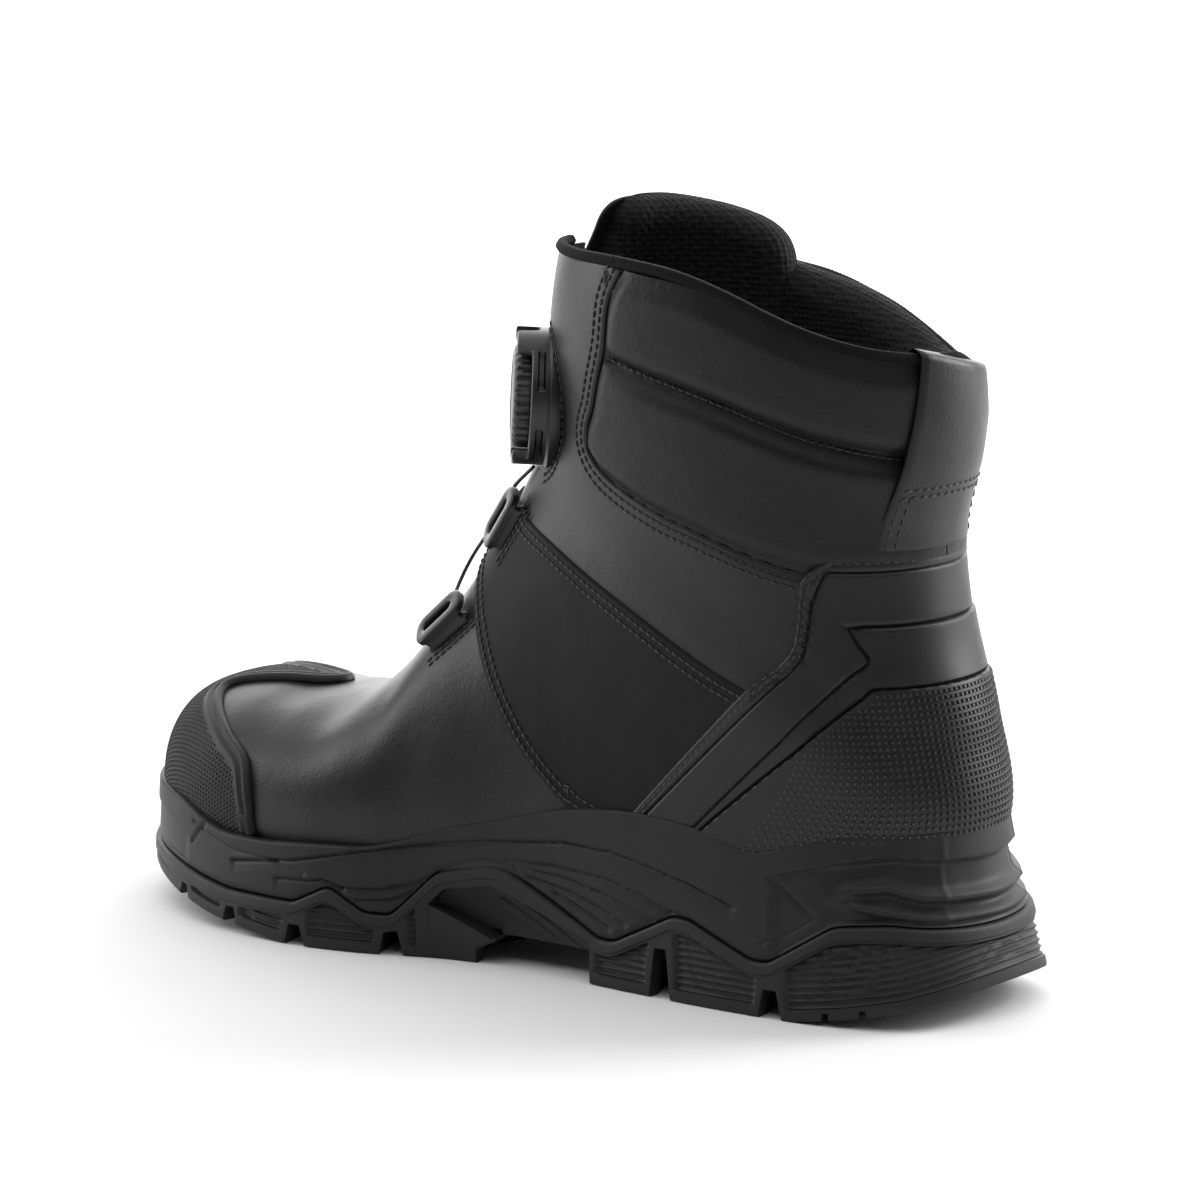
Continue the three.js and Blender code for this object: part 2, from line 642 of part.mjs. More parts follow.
// wire guides: a slotted plate bridging over the wire, standing on one leg on the flap side
const guides = {
  upper_left: [12.45, 21, -1],
  lower_left: [10.55, 30, -1],
  top_right: [14.9, -46, 1],
  upper_right: [12.45, -27, 1],
  lower_right: [10.55, -30, 1],
};

function roundedRect(w, h, r) {
  const s = new THREE.Shape();
  s.moveTo(-w / 2 + r, -h / 2);
  s.lineTo(w / 2 - r, -h / 2);
  s.absarc(w / 2 - r, -h / 2 + r, r, -Math.PI / 2, 0, false);
  s.lineTo(w / 2, h / 2 - r);
  s.absarc(w / 2 - r, h / 2 - r, r, 0, Math.PI / 2, false);
  s.lineTo(-w / 2 + r, h / 2);
  s.absarc(-w / 2 + r, h / 2 - r, r, Math.PI / 2, Math.PI, false);
  s.lineTo(-w / 2, -h / 2 + r);
  s.absarc(-w / 2 + r, -h / 2 + r, r, Math.PI, Math.PI * 1.5, false);
  return s;
}

function guide(name) {
  const [s, angle, hand] = guides[name];
  const frame = frameAt(s, angle);
  const outline = roundedRect(guideLength, guideWidth, 3);
  outline.holes.push(roundedRect(guideLength - 8, guideWidth - 7, 1.6));
  const plate = new THREE.ExtrudeGeometry(outline, { depth: guideThick, bevelEnabled: false, curveSegments: 3 });
  plate.translate(0, 0, wireRoom);
  const leg = new THREE.BoxGeometry(guideLength - 5, 3.2, wireRoom + 3);
  leg.translate(0, hand * (guideWidth / 2 - 1.6), wireRoom / 2 - 1.4);
  return placed(plate, frame).add(placed(leg, frame)).subtract(upperSolid(fitGap));
}

// the wire: out of the dial, crossing the throat through the guides and back into the dial
function guidePass(name, from) {
  const [s, angle, hand] = guides[name];
  const frame = frameAt(s, angle);
  const half = 4.3;
  const side = [[from * (half + 0.6), -9.5], [from * half, -4.2], [from * (half - 1), -0.2],
    [-from * (half - 1), -0.2], [-from * half, -4.2], [-from * (half + 0.6), -9.5]];
  return side.map(([x, y]) => new THREE.Vector3(x, y * hand, wireHeight).applyMatrix4(frame));
}

const across = (list) => list.map(([s, angle, offset]) => upperPoint(s, deg(angle), offset));

function laceWire() {
  const start = new THREE.Vector3(-guardRadius - 1.4, 2, wireHeight + 0.9).applyMatrix4(dialFrame);
  const end = new THREE.Vector3(-4, guardRadius + 1.6, 1.2).applyMatrix4(dialFrame);
  const points = [start, ...guidePass('upper_left', 1), ...across([[11.7, 2, 2], [11.3, -8, 2]]),
    ...guidePass('lower_right', 1), ...across([[10.1, -6, 2], [10.1, 6, 2]]), ...guidePass('lower_left', -1),
    ...across([[11.25, 8, 4.6], [11.75, -2, 4.6]]), ...guidePass('upper_right', -1),
    ...across([[13.7, -24, 2.2]]), ...guidePass('top_right', -1), ...across([[15.4, -22, 2.2]]), end];
  return tube(points, wireRadius, 112, 6, false);
}

// looks, one kind per material
const looks = {
  leather: [0x1c1c1e, 0.62, 0],
  nubuck: [0x171719, 0.85, 0],
  mesh: [0x101012, 0.95, 0],
  foam: [0x2b2b2e, 0.95, 0],
  rubber: [0x1e1e20, 0.8, 0],
  midsole: [0x262629, 0.75, 0],
  tpu: [0x202022, 0.55, 0],
  steel: [0x9a9da1, 0.35, 1],
  board: [0x8a7a5c, 0.9, 0],
  plastic: [0x18181a, 0.4, 0],
  wire: [0x3a3b3d, 0.35, 0.8],
};

const boot = new THREE.Group();

function addPart(name, shape, kind, place) {
  const geometry = shape.isBufferGeometry ? shape : toGeometry(shape);
  const [color, roughness, metalness] = looks[kind];
  const mesh = new THREE.Mesh(geometry, new THREE.MeshStandardMaterial({ color, roughness, metalness }));
  mesh.name = name;
  if (place) mesh.applyMatrix4(place);
  boot.add(mesh);
}

addPart('outsole', outsole(), 'rubber');
addPart('midsole', midsole(), 'midsole');
addPart('arch_shank', shank(), 'plastic');
addPart('insole_board', insoleBoard(), 'board');
addPart('footbed', footbed(), 'foam');
addPart('steel_toe_cap', steelToeCap(), 'steel');
addPart('heel_counter', heelCounter(), 'board');
addPart('vamp', vamp(), 'leather');
addPart('vamp_lining', vampLining(), 'mesh');
for (const side of ['left', 'right']) {
  addPart(`quarter_${side}`, quarter(side), 'nubuck');
  addPart(`ankle_panel_${side}`, anklePanel(side), 'leather');
  addPart(`collar_panel_${side}`, collarPanel(side), 'nubuck');
  addPart(`collar_pad_${side}`, collarPad(side), 'foam');
  addPart(`quarter_lining_${side}`, quarterLining(side), 'mesh');
}
addPart('collar_binding', collarBinding(), 'mesh');
addPart('toe_bumper', toeBumper(), 'rubber');
addPart('heel_support', heelSupport(), 'tpu');
addPart('pull_tab', pullTab(), 'leather');
addPart('tongue_shell', tongueShell(), 'leather');
addPart('tongue_pad', tonguePad(), 'foam');
addPart('dial_guard', dialGuard(), 'plastic');
addPart('dial_base', dialBase(), 'plastic');
addPart('dial_spool', dialSpool(), 'plastic', dialFrame);
addPart('dial_knob', dialKnob(), 'plastic', dialFrame);
for (const name of Object.keys(guides)) addPart(`wire_guide_${name}`, guide(name), 'plastic');
addPart('lace_wire', laceWire(), 'wire');

// the row's origin: centre of the ground outline, on the ground
const reach = new THREE.Box3().setFromObject(boot);
boot.position.set(-(reach.min.x + reach.max.x) / 2, -(reach.min.y + reach.max.y) / 2, -reach.min.z);

const group = new THREE.Group();
group.name = 'safety_boot';
group.add(boot);

export default group;
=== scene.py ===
import bmesh
import bpy
import math
import numpy as np
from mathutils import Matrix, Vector
from mathutils.geometry import delaunay_2d_cdt
from mathutils.kdtree import KDTree


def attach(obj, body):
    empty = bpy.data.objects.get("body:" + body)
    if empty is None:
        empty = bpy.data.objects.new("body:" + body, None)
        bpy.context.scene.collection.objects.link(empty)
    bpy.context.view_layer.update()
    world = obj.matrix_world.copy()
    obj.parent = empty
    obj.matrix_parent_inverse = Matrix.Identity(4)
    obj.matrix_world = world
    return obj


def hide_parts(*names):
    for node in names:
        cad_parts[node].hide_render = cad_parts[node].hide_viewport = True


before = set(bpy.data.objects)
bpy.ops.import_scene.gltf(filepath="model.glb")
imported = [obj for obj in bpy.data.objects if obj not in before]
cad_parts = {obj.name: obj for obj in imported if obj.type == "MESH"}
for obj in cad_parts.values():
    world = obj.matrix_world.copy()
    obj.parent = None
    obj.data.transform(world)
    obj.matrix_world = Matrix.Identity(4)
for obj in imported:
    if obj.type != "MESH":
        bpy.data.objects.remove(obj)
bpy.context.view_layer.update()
scene = bpy.context.scene
shift = np.array([0.2533, -2.5648, 0.0])  # drawn millimetres to the row frame


# drawn millimetres to metres in the shared frame
def toFrame(p):
    return (np.asarray(p, float) + shift) * 0.001


# camera, light, floor
viewpoint = {
    "lens": 219.0,
    "sensor": 36.0,
    "near": 0.1,
    "far": 20,
    "azimuth": 215.98,  # degrees round the boot
    "elevation": 11.24,
    "distance": 2.165,  # metres from the aim
    "aim": (-0.00735, -0.00256, 0.1044),
}
camera = bpy.data.objects.new("camera", bpy.data.cameras.new("camera"))
scene.collection.objects.link(camera)
camera.data.lens = viewpoint["lens"]
camera.data.sensor_width = viewpoint["sensor"]
camera.data.clip_start = viewpoint["near"]
camera.data.clip_end = viewpoint["far"]
azimuth, elevation = math.radians(viewpoint["azimuth"]), math.radians(viewpoint["elevation"])
back = Vector((math.sin(azimuth) * math.cos(elevation),
               -math.cos(azimuth) * math.cos(elevation),
               math.sin(elevation)))
camera.location = Vector(viewpoint["aim"]) + back * viewpoint["distance"]
camera.rotation_mode = "QUATERNION"
camera.rotation_quaternion = (-back).to_track_quat("-Z", "Y")
scene.camera = camera
scene.view_settings.view_transform = "Standard"


# a rectangular light aimed at a point, hidden from the camera
def softLight(name, place, aim, size, power, tint=(1, 1, 1)):
    lamp = bpy.data.lights.new(name, "AREA")
    lamp.shape = "RECTANGLE"
    lamp.size, lamp.size_y = size
    lamp.energy = power
    lamp.color = tint
    obj = bpy.data.objects.new(name, lamp)
    obj.location = place
    obj.rotation_mode = "QUATERNION"
    obj.rotation_quaternion = (Vector(aim) - Vector(place)).to_track_quat("-Z", "Y")
    obj.visible_camera = False
    scene.collection.objects.link(obj)
    return obj


# place, aim, size in metres and power in watts
lights = {
    "overhead": ((1.2, -1.4, 3.0), (1.2, -1.4, 0), (8.5, 8.5), 270),
    "backdrop": ((1.4, -1.95, 0.75), (0, 0, 0.1), (3.4, 1.9), 68),
    "toeRim": ((1.5, 0.5, 0.5), (0.0, 0, 0.12), (0.7, 1.1), 11),
    "heelRim": ((-0.85, -1.2, 0.65), (-0.05, 0, 0.1), (0.7, 0.9), 21),
}
for key, (place, aim, size, power) in lights.items():
    softLight(key, place, aim, size, power)
surround = {"onPieces": 0.10, "seen": 1.0}  # strength as light, and as the white behind the boot
world = bpy.data.worlds.new("studio")
scene.world = world
world.use_nodes = True
world.node_tree.nodes["Background"].inputs["Color"].default_value = (1, 1, 1, 1)
studio = world.node_tree
rays = studio.nodes.new("ShaderNodeLightPath")
level = studio.nodes.new("ShaderNodeMapRange")
studio.links.new(rays.outputs["Is Camera Ray"], level.inputs["Value"])
level.inputs["To Min"].default_value = surround["onPieces"]
level.inputs["To Max"].default_value = surround["seen"]
studio.links.new(level.outputs["Result"], studio.nodes["Background"].inputs["Strength"])
print("camera and", len(lights), "lights placed")


# material helpers
# sRGB hex value to linear colour
def linear(code):
    values = [int(code[i:i + 2], 16) / 255 for i in (0, 2, 4)]
    return tuple(v / 12.92 if v <= 0.04045 else ((v + 0.055) / 1.055) ** 2.4 for v in values) + (1.0,)


# a principled material with its colour, roughness and specular level
def newMaterial(name, colour, roughness, specular=0.5):
    mat = bpy.data.materials.new(name)
    mat.use_nodes = True
    shader = mat.node_tree.nodes["Principled BSDF"]
    shader.inputs["Base Color"].default_value = linear(colour)
    shader.inputs["Roughness"].default_value = roughness
    shader.inputs["Specular IOR Level"].default_value = specular
    return mat, mat.node_tree, shader


# one node with its settings and links
def addNode(tree, kind, links=(), **values):
    node = tree.nodes.new(kind)
    for key, value in values.items():
        if hasattr(node, key) and key not in [i.name for i in node.inputs]:
            setattr(node, key, value)
        else:
            node.inputs[key.replace("_", " ")].default_value = value
    for source, target in links:
        tree.links.new(source, node.inputs[target])
    return node


# a colour ramp with the given stops
def ramp(tree, source, stops):
    node = tree.nodes.new("ShaderNodeValToRGB")
    elements = node.color_ramp.elements
    while len(elements) < len(stops):
        elements.new(0.5)
    for element, (place, value) in zip(elements, stops):
        element.position = place
        element.color = value if len(value) == 4 else tuple(value) + (1,)
    tree.links.new(source, node.inputs["Fac"])
    return node


# bump from cells or noise, size and depth in metres; second adds a broader undulation
def grain(tree, shader, size, depth, kind="leather", second=None):
    coords = addNode(tree, "ShaderNodeTexCoord")
    if kind == "leather":
        cells = addNode(tree, "ShaderNodeTexVoronoi", [(coords.outputs["Object"], "Vector")],
                        feature="SMOOTH_F1", Scale=1 / size, Randomness=1.0)
        height = cells.outputs["Distance"]
    else:
        noise = addNode(tree, "ShaderNodeTexNoise", [(coords.outputs["Object"], "Vector")], Scale=1 / size,
                        Detail=4.0, Roughness=0.6)
        height = noise.outputs["Fac"]
    bump = addNode(tree, "ShaderNodeBump", [(height, "Height")], Strength=1.0, Distance=depth)
    if second:
        broad = addNode(tree, "ShaderNodeTexNoise", [(coords.outputs["Object"], "Vector")],
                        Scale=1 / second[0], Detail=3.0)
        bump = addNode(tree, "ShaderNodeBump", [(broad.outputs["Fac"], "Height"), (bump.outputs["Normal"],
                                                                                   "Normal")],
                       Strength=1.0, Distance=second[1])
    tree.links.new(bump.outputs["Normal"], shader.inputs["Normal"])
    return coords


# a cloudy change of colour and roughness over the piece
def mottle(tree, shader, coords, size, dark, light, roughLow, roughHigh):
    cloud = addNode(tree, "ShaderNodeTexNoise", [(coords.outputs["Object"], "Vector")], Scale=1 / size,
                    Detail=5.0, Roughness=0.6)
    tint = ramp(tree, cloud.outputs["Fac"], [(0.3, linear(dark)), (0.7, linear(light))])
    tree.links.new(tint.outputs["Color"], shader.inputs["Base Color"])
    span = addNode(tree, "ShaderNodeMapRange", [(cloud.outputs["Fac"], "Value")])
    span.inputs["From Min"].default_value = 0.3
    span.inputs["From Max"].default_value = 0.7
    span.inputs["To Min"].default_value = roughLow
    span.inputs["To Max"].default_value = roughHigh
    tree.links.new(span.outputs["Result"], shader.inputs["Roughness"])


# grain and mottle together
def grainedMaterial(name, dark, light, roughLow, roughHigh, size, depth, kind="leather", second=None,
                    specular=0.5, cloud=0.03, sheen=0):
    mat, tree, shader = newMaterial(name, dark, roughLow, specular)
    coords = grain(tree, shader, size, depth, kind, second)
    mottle(tree, shader, coords, cloud, dark, light, roughLow, roughHigh)
    if sheen:
        shader.inputs["Sheen Weight"].default_value = sheen
        shader.inputs["Sheen Roughness"].default_value = 0.5
    return mat


# full-grain leather, lightly finished: fine pebbled grain and a soft satin highlight
smoothLeather = grainedMaterial("full_grain_leather", "18181a", "1e1e20", 0.38, 0.46, 0.0009, 0.00005,
                                second=(0.02, 0.0004), specular=0.36)
# buffed leather: the surface fibre scatters the light, so it stays darker and flatter
buffedLeather = grainedMaterial("buffed_leather", "131314", "181819", 0.55, 0.66, 0.0008, 0.00006,
                                kind="noise", second=(0.018, 0.0006), sheen=0.03, specular=0.16)
# soft coated leather over foam: fine creased grain, semi-gloss
collarLeather = grainedMaterial("collar_leather", "141415", "19191a", 0.42, 0.52, 0.0010, 0.00007,
                                second=(0.015, 0.0006), specular=0.26)
# injected rubber: dull with a faint mould texture
rubberMat = grainedMaterial("outsole_rubber", "1e1e1e", "242424", 0.50, 0.62, 0.0007, 0.00006, kind="noise",
                            specular=0.35)
# moulded polyurethane foam skin: smooth, slightly glossy, very fine speckle
foamMat = grainedMaterial("midsole_foam_skin", "212122", "272728", 0.46, 0.56, 0.0006, 0.00005,
                          kind="noise", specular=0.26)
# moulded thermoplastic: smooth satin with a fine spark-eroded texture
tpuMat = grainedMaterial("moulded_tpu", "18181a", "1e1e20", 0.40, 0.48, 0.0005, 0.00004, kind="noise",
                         specular=0.34)
# the same plastic on the raised dots, coloured paler than the wall as a painted highlight for the light
# they catch, and glossier
dotHighlightMat = grainedMaterial("moulded_tpu_dots_painted_highlight", "2b2b2c", "323233", 0.38, 0.46, 0.0005, 0.00003, kind="noise",
                         specular=0.45)
# glass-filled nylon from a polished mould: dark with a tight, fairly bright highlight
plasticMat = grainedMaterial("dial_nylon", "141415", "1a1a1b", 0.32, 0.42, 0.0005, 0.00003, kind="noise")
# twisted polyester sewing thread: a dull sheen broken by the twist
threadMat = grainedMaterial("sewing_thread", "1c1c1d", "262627", 0.5, 0.6, 0.0004, 0.0001, kind="noise")
# spacer mesh knit: lighter yarns round the open cells, the cell middles coloured darker as painted shade in
# the holes
meshMat, tree, shader = newMaterial("spacer_mesh", "0c0c0c", 0.8, 0.3)
coords = addNode(tree, "ShaderNodeTexCoord")
yarn = addNode(tree, "ShaderNodeTexVoronoi", [(coords.outputs["Object"], "Vector")], feature="F1",
               Scale=1 / 0.0016, Randomness=0.25)
# painted shade: the ramp darkens the sunken middles of the cells
tint = ramp(tree, yarn.outputs["Distance"], [(0.25, linear("050505")), (0.55, linear("1a1a1a"))])
tree.links.new(tint.outputs["Color"], shader.inputs["Base Color"])
bump = addNode(tree, "ShaderNodeBump", [(yarn.outputs["Distance"], "Height")], Strength=1.0,
               Distance=0.0005)
tree.links.new(bump.outputs["Normal"], shader.inputs["Normal"])
# knitted edge tape: matt and darker than the leather, its loops left coarse enough to show
bindingMat = grainedMaterial("knitted_binding", "0a0a0a", "131313", 0.75, 0.9, 0.0006, 0.0002, kind="noise",
                             specular=0.15)
# pressed sheet steel: bare metal with a faint rolled texture
steelMat, tree, shader = newMaterial("pressed_steel", "70727a", 0.38)
shader.inputs["Metallic"].default_value = 1.0
grain(tree, shader, 0.002, 0.00003, "noise")
# steel wire in a smooth nylon coat: dark grey with a narrow shine
wireMat, tree, shader = newMaterial("coated_steel_wire", "2a2a2b", 0.28)
grain(tree, shader, 0.0008, 0.00005, "noise")
# pressed fibre board: warm grey and matt
boardMat = grainedMaterial("insole_board", "3a3632", "45403b", 0.8, 0.9, 0.001, 0.0001, kind="noise")
# white background paper: matt, it only takes the shadow
floorMat, tree, shader = newMaterial("studio_paper", "f4f4f4", 0.9, 0.1)
grain(tree, shader, 0.01, 0.00002, "noise")
print("made", len(bpy.data.materials), "materials")


# surface of the upper; each row is the front x and z, the back x and z, where the widest point lies,
# the half widths left and right, and how square the front and the back are
sections = np.array([
    (145.0, 41, 145.0, 26, 0.60, 0.01, 0.01, 2.0, 2.0), (144.2, 47, 144.2, 23, 0.60, 10, 15, 2.1, 2.2),
    (141.8, 53, 141.8, 21, 0.60, 17.5, 23, 2.2, 2.6), (137.2, 59, 137.2, 20, 0.61, 25.5, 30, 2.3, 3.2),
    (130.0, 64, 130.0, 20, 0.62, 33.5, 36, 2.35, 4.0), (119.5, 67, 119.5, 20, 0.63, 40, 40, 2.35, 4.5),
    (105.0, 68.3, 105, 20, 0.64, 45.5, 43.5, 2.3, 5.0), (86.0, 68.5, 86, 20, 0.66, 48.5, 45, 2.2, 5.0),
    (68.0, 71.5, 66, 20, 0.68, 50, 44.5, 2.1, 5.0), (53.0, 82.5, 46, 20, 0.70, 49, 43, 2.0, 5.0),
    (41.5, 97, 18, 19, 0.72, 46, 40, 1.95, 5.0), (31.5, 111.5, -18, 18, 0.72, 42.5, 38, 1.9, 4.6),
    (22.8, 126.5, -62, 18, 0.66, 40.5, 37.5, 1.9, 4.0), (14.5, 141, -112, 22, 0.60, 40.5, 38.5, 1.95, 3.2),
    (8.5, 154.5, -141, 50, 0.57, 40, 38.5, 2.0, 2.5), (6.5, 168, -139, 80, 0.54, 39, 38.5, 2.05, 2.25),
    (4.5, 181, -131, 110, 0.52, 40, 39.5, 2.1, 2.2), (2.5, 195, -128, 138, 0.50, 42, 41, 2.1, 2.2),
    (0.0, 208, -131.5, 164, 0.49, 43.5, 42.5, 2.1, 2.2), (-3.5, 221, -132.5, 186, 0.49, 44, 43, 2.1, 2.2),
    (-8.0, 234, -131, 208, 0.49, 44, 43, 2.1, 2.2)], float)
lastSection = len(sections) - 1
slopes = np.vstack([sections[1] - sections[0],
                    (sections[2:] - sections[:-2]) / 2,
                    sections[-1] - sections[-2]])


# the row of the section table at a fractional section number
def sectionAt(s):
    s = np.clip(s, 0, lastSection - 1e-9)
    i = s.astype(int)
    t = (s - i)[:, None]
    a, b, ma, mb = sections[i], sections[i + 1], slopes[i], slopes[i + 1]
    return ((2 * t**3 - 3 * t**2 + 1) * a + (t**3 - 2 * t**2 + t) * ma + (-2 * t**3 + 3 * t**2) * b
            + (t**3 - t**2) * mb)


# points of the upper: section s from toe to rim, angle a from 0 at the front to pi at the back
def upper(s, a):
    q = sectionAt(s)
    front, rear = q[:, 0:2], q[:, 2:4]
    centre = front + (rear - front) * q[:, 4:5]
    cos, sin = np.cos(a), np.sin(a)
    square = np.where(cos >= 0, q[:, 7], q[:, 8])
    r = (np.abs(cos)**square + np.abs(sin)**square)**(-1 / square)
    u = (np.abs(cos) * r)[:, None]
    flat = np.where((cos >= 0)[:, None], centre + (front - centre) * u, centre + (rear - centre) * u)
    half = np.where(sin >= 0, q[:, 5], q[:, 6])
    return np.column_stack([flat[:, 0], np.sign(sin) * half * np.abs(sin) * r, flat[:, 1]])


# the directions along s and a, and the outward normal
def upperFrame(s, a):
    s = np.clip(s, 0.03, lastSection - 0.002)
    e = 1e-3
    ds = (upper(s + e, a) - upper(s - e, a)) / (2 * e)
    da = (upper(s, a + e) - upper(s, a - e)) / (2 * e)
    n = np.cross(da, ds)
    n /= np.maximum(np.linalg.norm(n, axis=1, keepdims=True), 1e-12)
    q = sectionAt(s)
    centre = q[:, 0:2] + (q[:, 2:4] - q[:, 0:2]) * q[:, 4:5]
    p = upper(s, a)
    out = np.column_stack([p[:, 0] - centre[:, 0], p[:, 1], p[:, 2] - centre[:, 1]])
    sign = np.sign((n * out).sum(1))
    sign[sign == 0] = 1
    return ds, da, n * sign[:, None]


# points of the upper moved outward by off millimetres
def upperAt(s, a, off=0.0):
    s, a = np.atleast_1d(np.asarray(s, float)), np.atleast_1d(np.asarray(a, float))
    n = upperFrame(s, a)[2]
    return upper(s, a) + n * (np.zeros(len(s)) + off)[:, None]


# moves points along the surface in a direction, by an amount in millimetres
def slide(s, a, direction, amount):
    ds, da, _ = upperFrame(s, a)
    jj = np.stack([np.stack([(ds * ds).sum(1), (ds * da).sum(1)], -1),
                   np.stack([(ds * da).sum(1), (da * da).sum(1)], -1)], -2)
    rhs = np.stack([(ds * direction).sum(1), (da * direction).sum(1)], -1)
    det = jj[:, 0, 0] * jj[:, 1, 1] - jj[:, 0, 1]**2
    det = np.where(np.abs(det) < 1e-9, 1e-9, det)
    x = (jj[:, 1, 1] * rhs[:, 0] - jj[:, 0, 1] * rhs[:, 1]) / det
    y = (jj[:, 0, 0] * rhs[:, 1] - jj[:, 0, 1] * rhs[:, 0]) / det
    return np.clip(s + x * amount, 0, lastSection), a + y * amount


gridSections, gridAngles = np.arange(0, 20.001, 0.05), np.radians(np.arange(1, 180, 1.0))
grid = np.stack(np.meshgrid(gridSections, gridAngles, indexing="ij"), -1).reshape(-1, 2)
gridPoints = {1: upper(grid[:, 0], grid[:, 1]), -1: upper(grid[:, 0], -grid[:, 1])}


# section and degrees of points given by their x and z in the side view
def trace(points, side=1):
    found = []
    for x, z in points:
        g = gridPoints[side]
        k = np.argmin((g[:, 0] - x)**2 + (g[:, 2] - z)**2)
        s, a = grid[k]
        for _ in range(6):
            p = upper(np.array([s]), np.array([a * side]))[0]
            ds, da, _n = upperFrame(np.array([s]), np.array([a * side]))
            m = np.array([[ds[0, 0], da[0, 0] * side], [ds[0, 2], da[0, 2] * side]])
            if abs(np.linalg.det(m)) < 1e-6:
                break
            step = np.linalg.solve(m, np.array([x - p[0], z - p[2]]))
            s = min(max(s + np.clip(step[0], -0.1, 0.1), 0), 20)
            a = min(max(a + np.clip(step[1], -0.05, 0.05), 0.01), 3.13)
        found.append((s, math.degrees(a)))
    return found


# a smooth curve through the points
def smoothLine(points, per=12):
    p = np.asarray(points, float)
    if len(p) < 3:
        return np.array([p[0] + (p[-1] - p[0]) * k / per for k in range(per + 1)])
    q = np.vstack([2 * p[0] - p[1], p, 2 * p[-1] - p[-2]])
    out = []
    for i in range(1, len(q) - 2):
        for k in range(per):
            u = k / per
            out.append(0.5 * (2 * q[i] + (q[i + 1] - q[i - 1]) * u
                              + (2 * q[i - 1] - 5 * q[i] + 4 * q[i + 1] - q[i + 2]) * u * u
                              + (-q[i - 1] + 3 * q[i] - 3 * q[i + 1] + q[i + 2]) * u**3))
    out.append(p[-1])
    return np.array(out)


# the same line with even spacing, measured where the where function puts it
def evenly(line, step, where=None):
    line = np.asarray(line, float)
    p = where(line) if where else line
    lengths = np.concatenate([[0], np.cumsum(np.linalg.norm(np.diff(p, axis=0), axis=1))])
    count = max(2, int(round(lengths[-1] / step)) + 1)
    marks = np.linspace(0, lengths[-1], count)
    return np.column_stack([np.interp(marks, lengths, line[:, k]) for k in range(line.shape[1])])


# rows of section and degrees to points of the upper
def onUpper(line):
    return upper(line[:, 0], np.radians(line[:, 1]))


# a function that measures how far points are from the given seam lines
def distanceTo(lines):
    pts = np.vstack([onUpper(evenly(smoothLine(l), 0.35, onUpper)) for l in lines])
    tree = KDTree(len(pts))
    for i, p in enumerate(pts):
        tree.insert(p, i)
    tree.balance()
    return lambda points: np.array([tree.find(p)[2] for p in points])


# which points lie inside a flat polygon
def inside(poly, pts):
    x, y = pts[:, 0], pts[:, 1]
    hit = np.zeros(len(pts), bool)
    n = len(poly)
    for i in range(n):
        x0, y0 = poly[i]
        x1, y1 = poly[(i + 1) % n]
        if y0 == y1:
            continue
        cross = ((y0 > y) != (y1 > y)) & (x < (x1 - x0) * (y - y0) / (y1 - y0) + x0)
        hit ^= cross
    return hit


# a mesh object with its finish, body and replaced nodes
def addMesh(name, vertices, faces, material, smooth=True, body="boot", nodes=()):
    mesh = bpy.data.meshes.new(name)
    mesh.from_pydata([tuple(v) for v in vertices], [], [tuple(int(i) for i in f) for f in faces])
    mesh.validate()
    mesh.update()
    if smooth:
        mesh.polygons.foreach_set("use_smooth", [True] * len(mesh.polygons))
    obj = bpy.data.objects.new(name, mesh)
    scene.collection.objects.link(obj)
    mesh.materials.append(material)
    if body:
        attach(obj, body)
    if nodes:
        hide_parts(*nodes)
    return obj


chart = np.array([13.0, 0.7])  # millimetres per section step and per degree


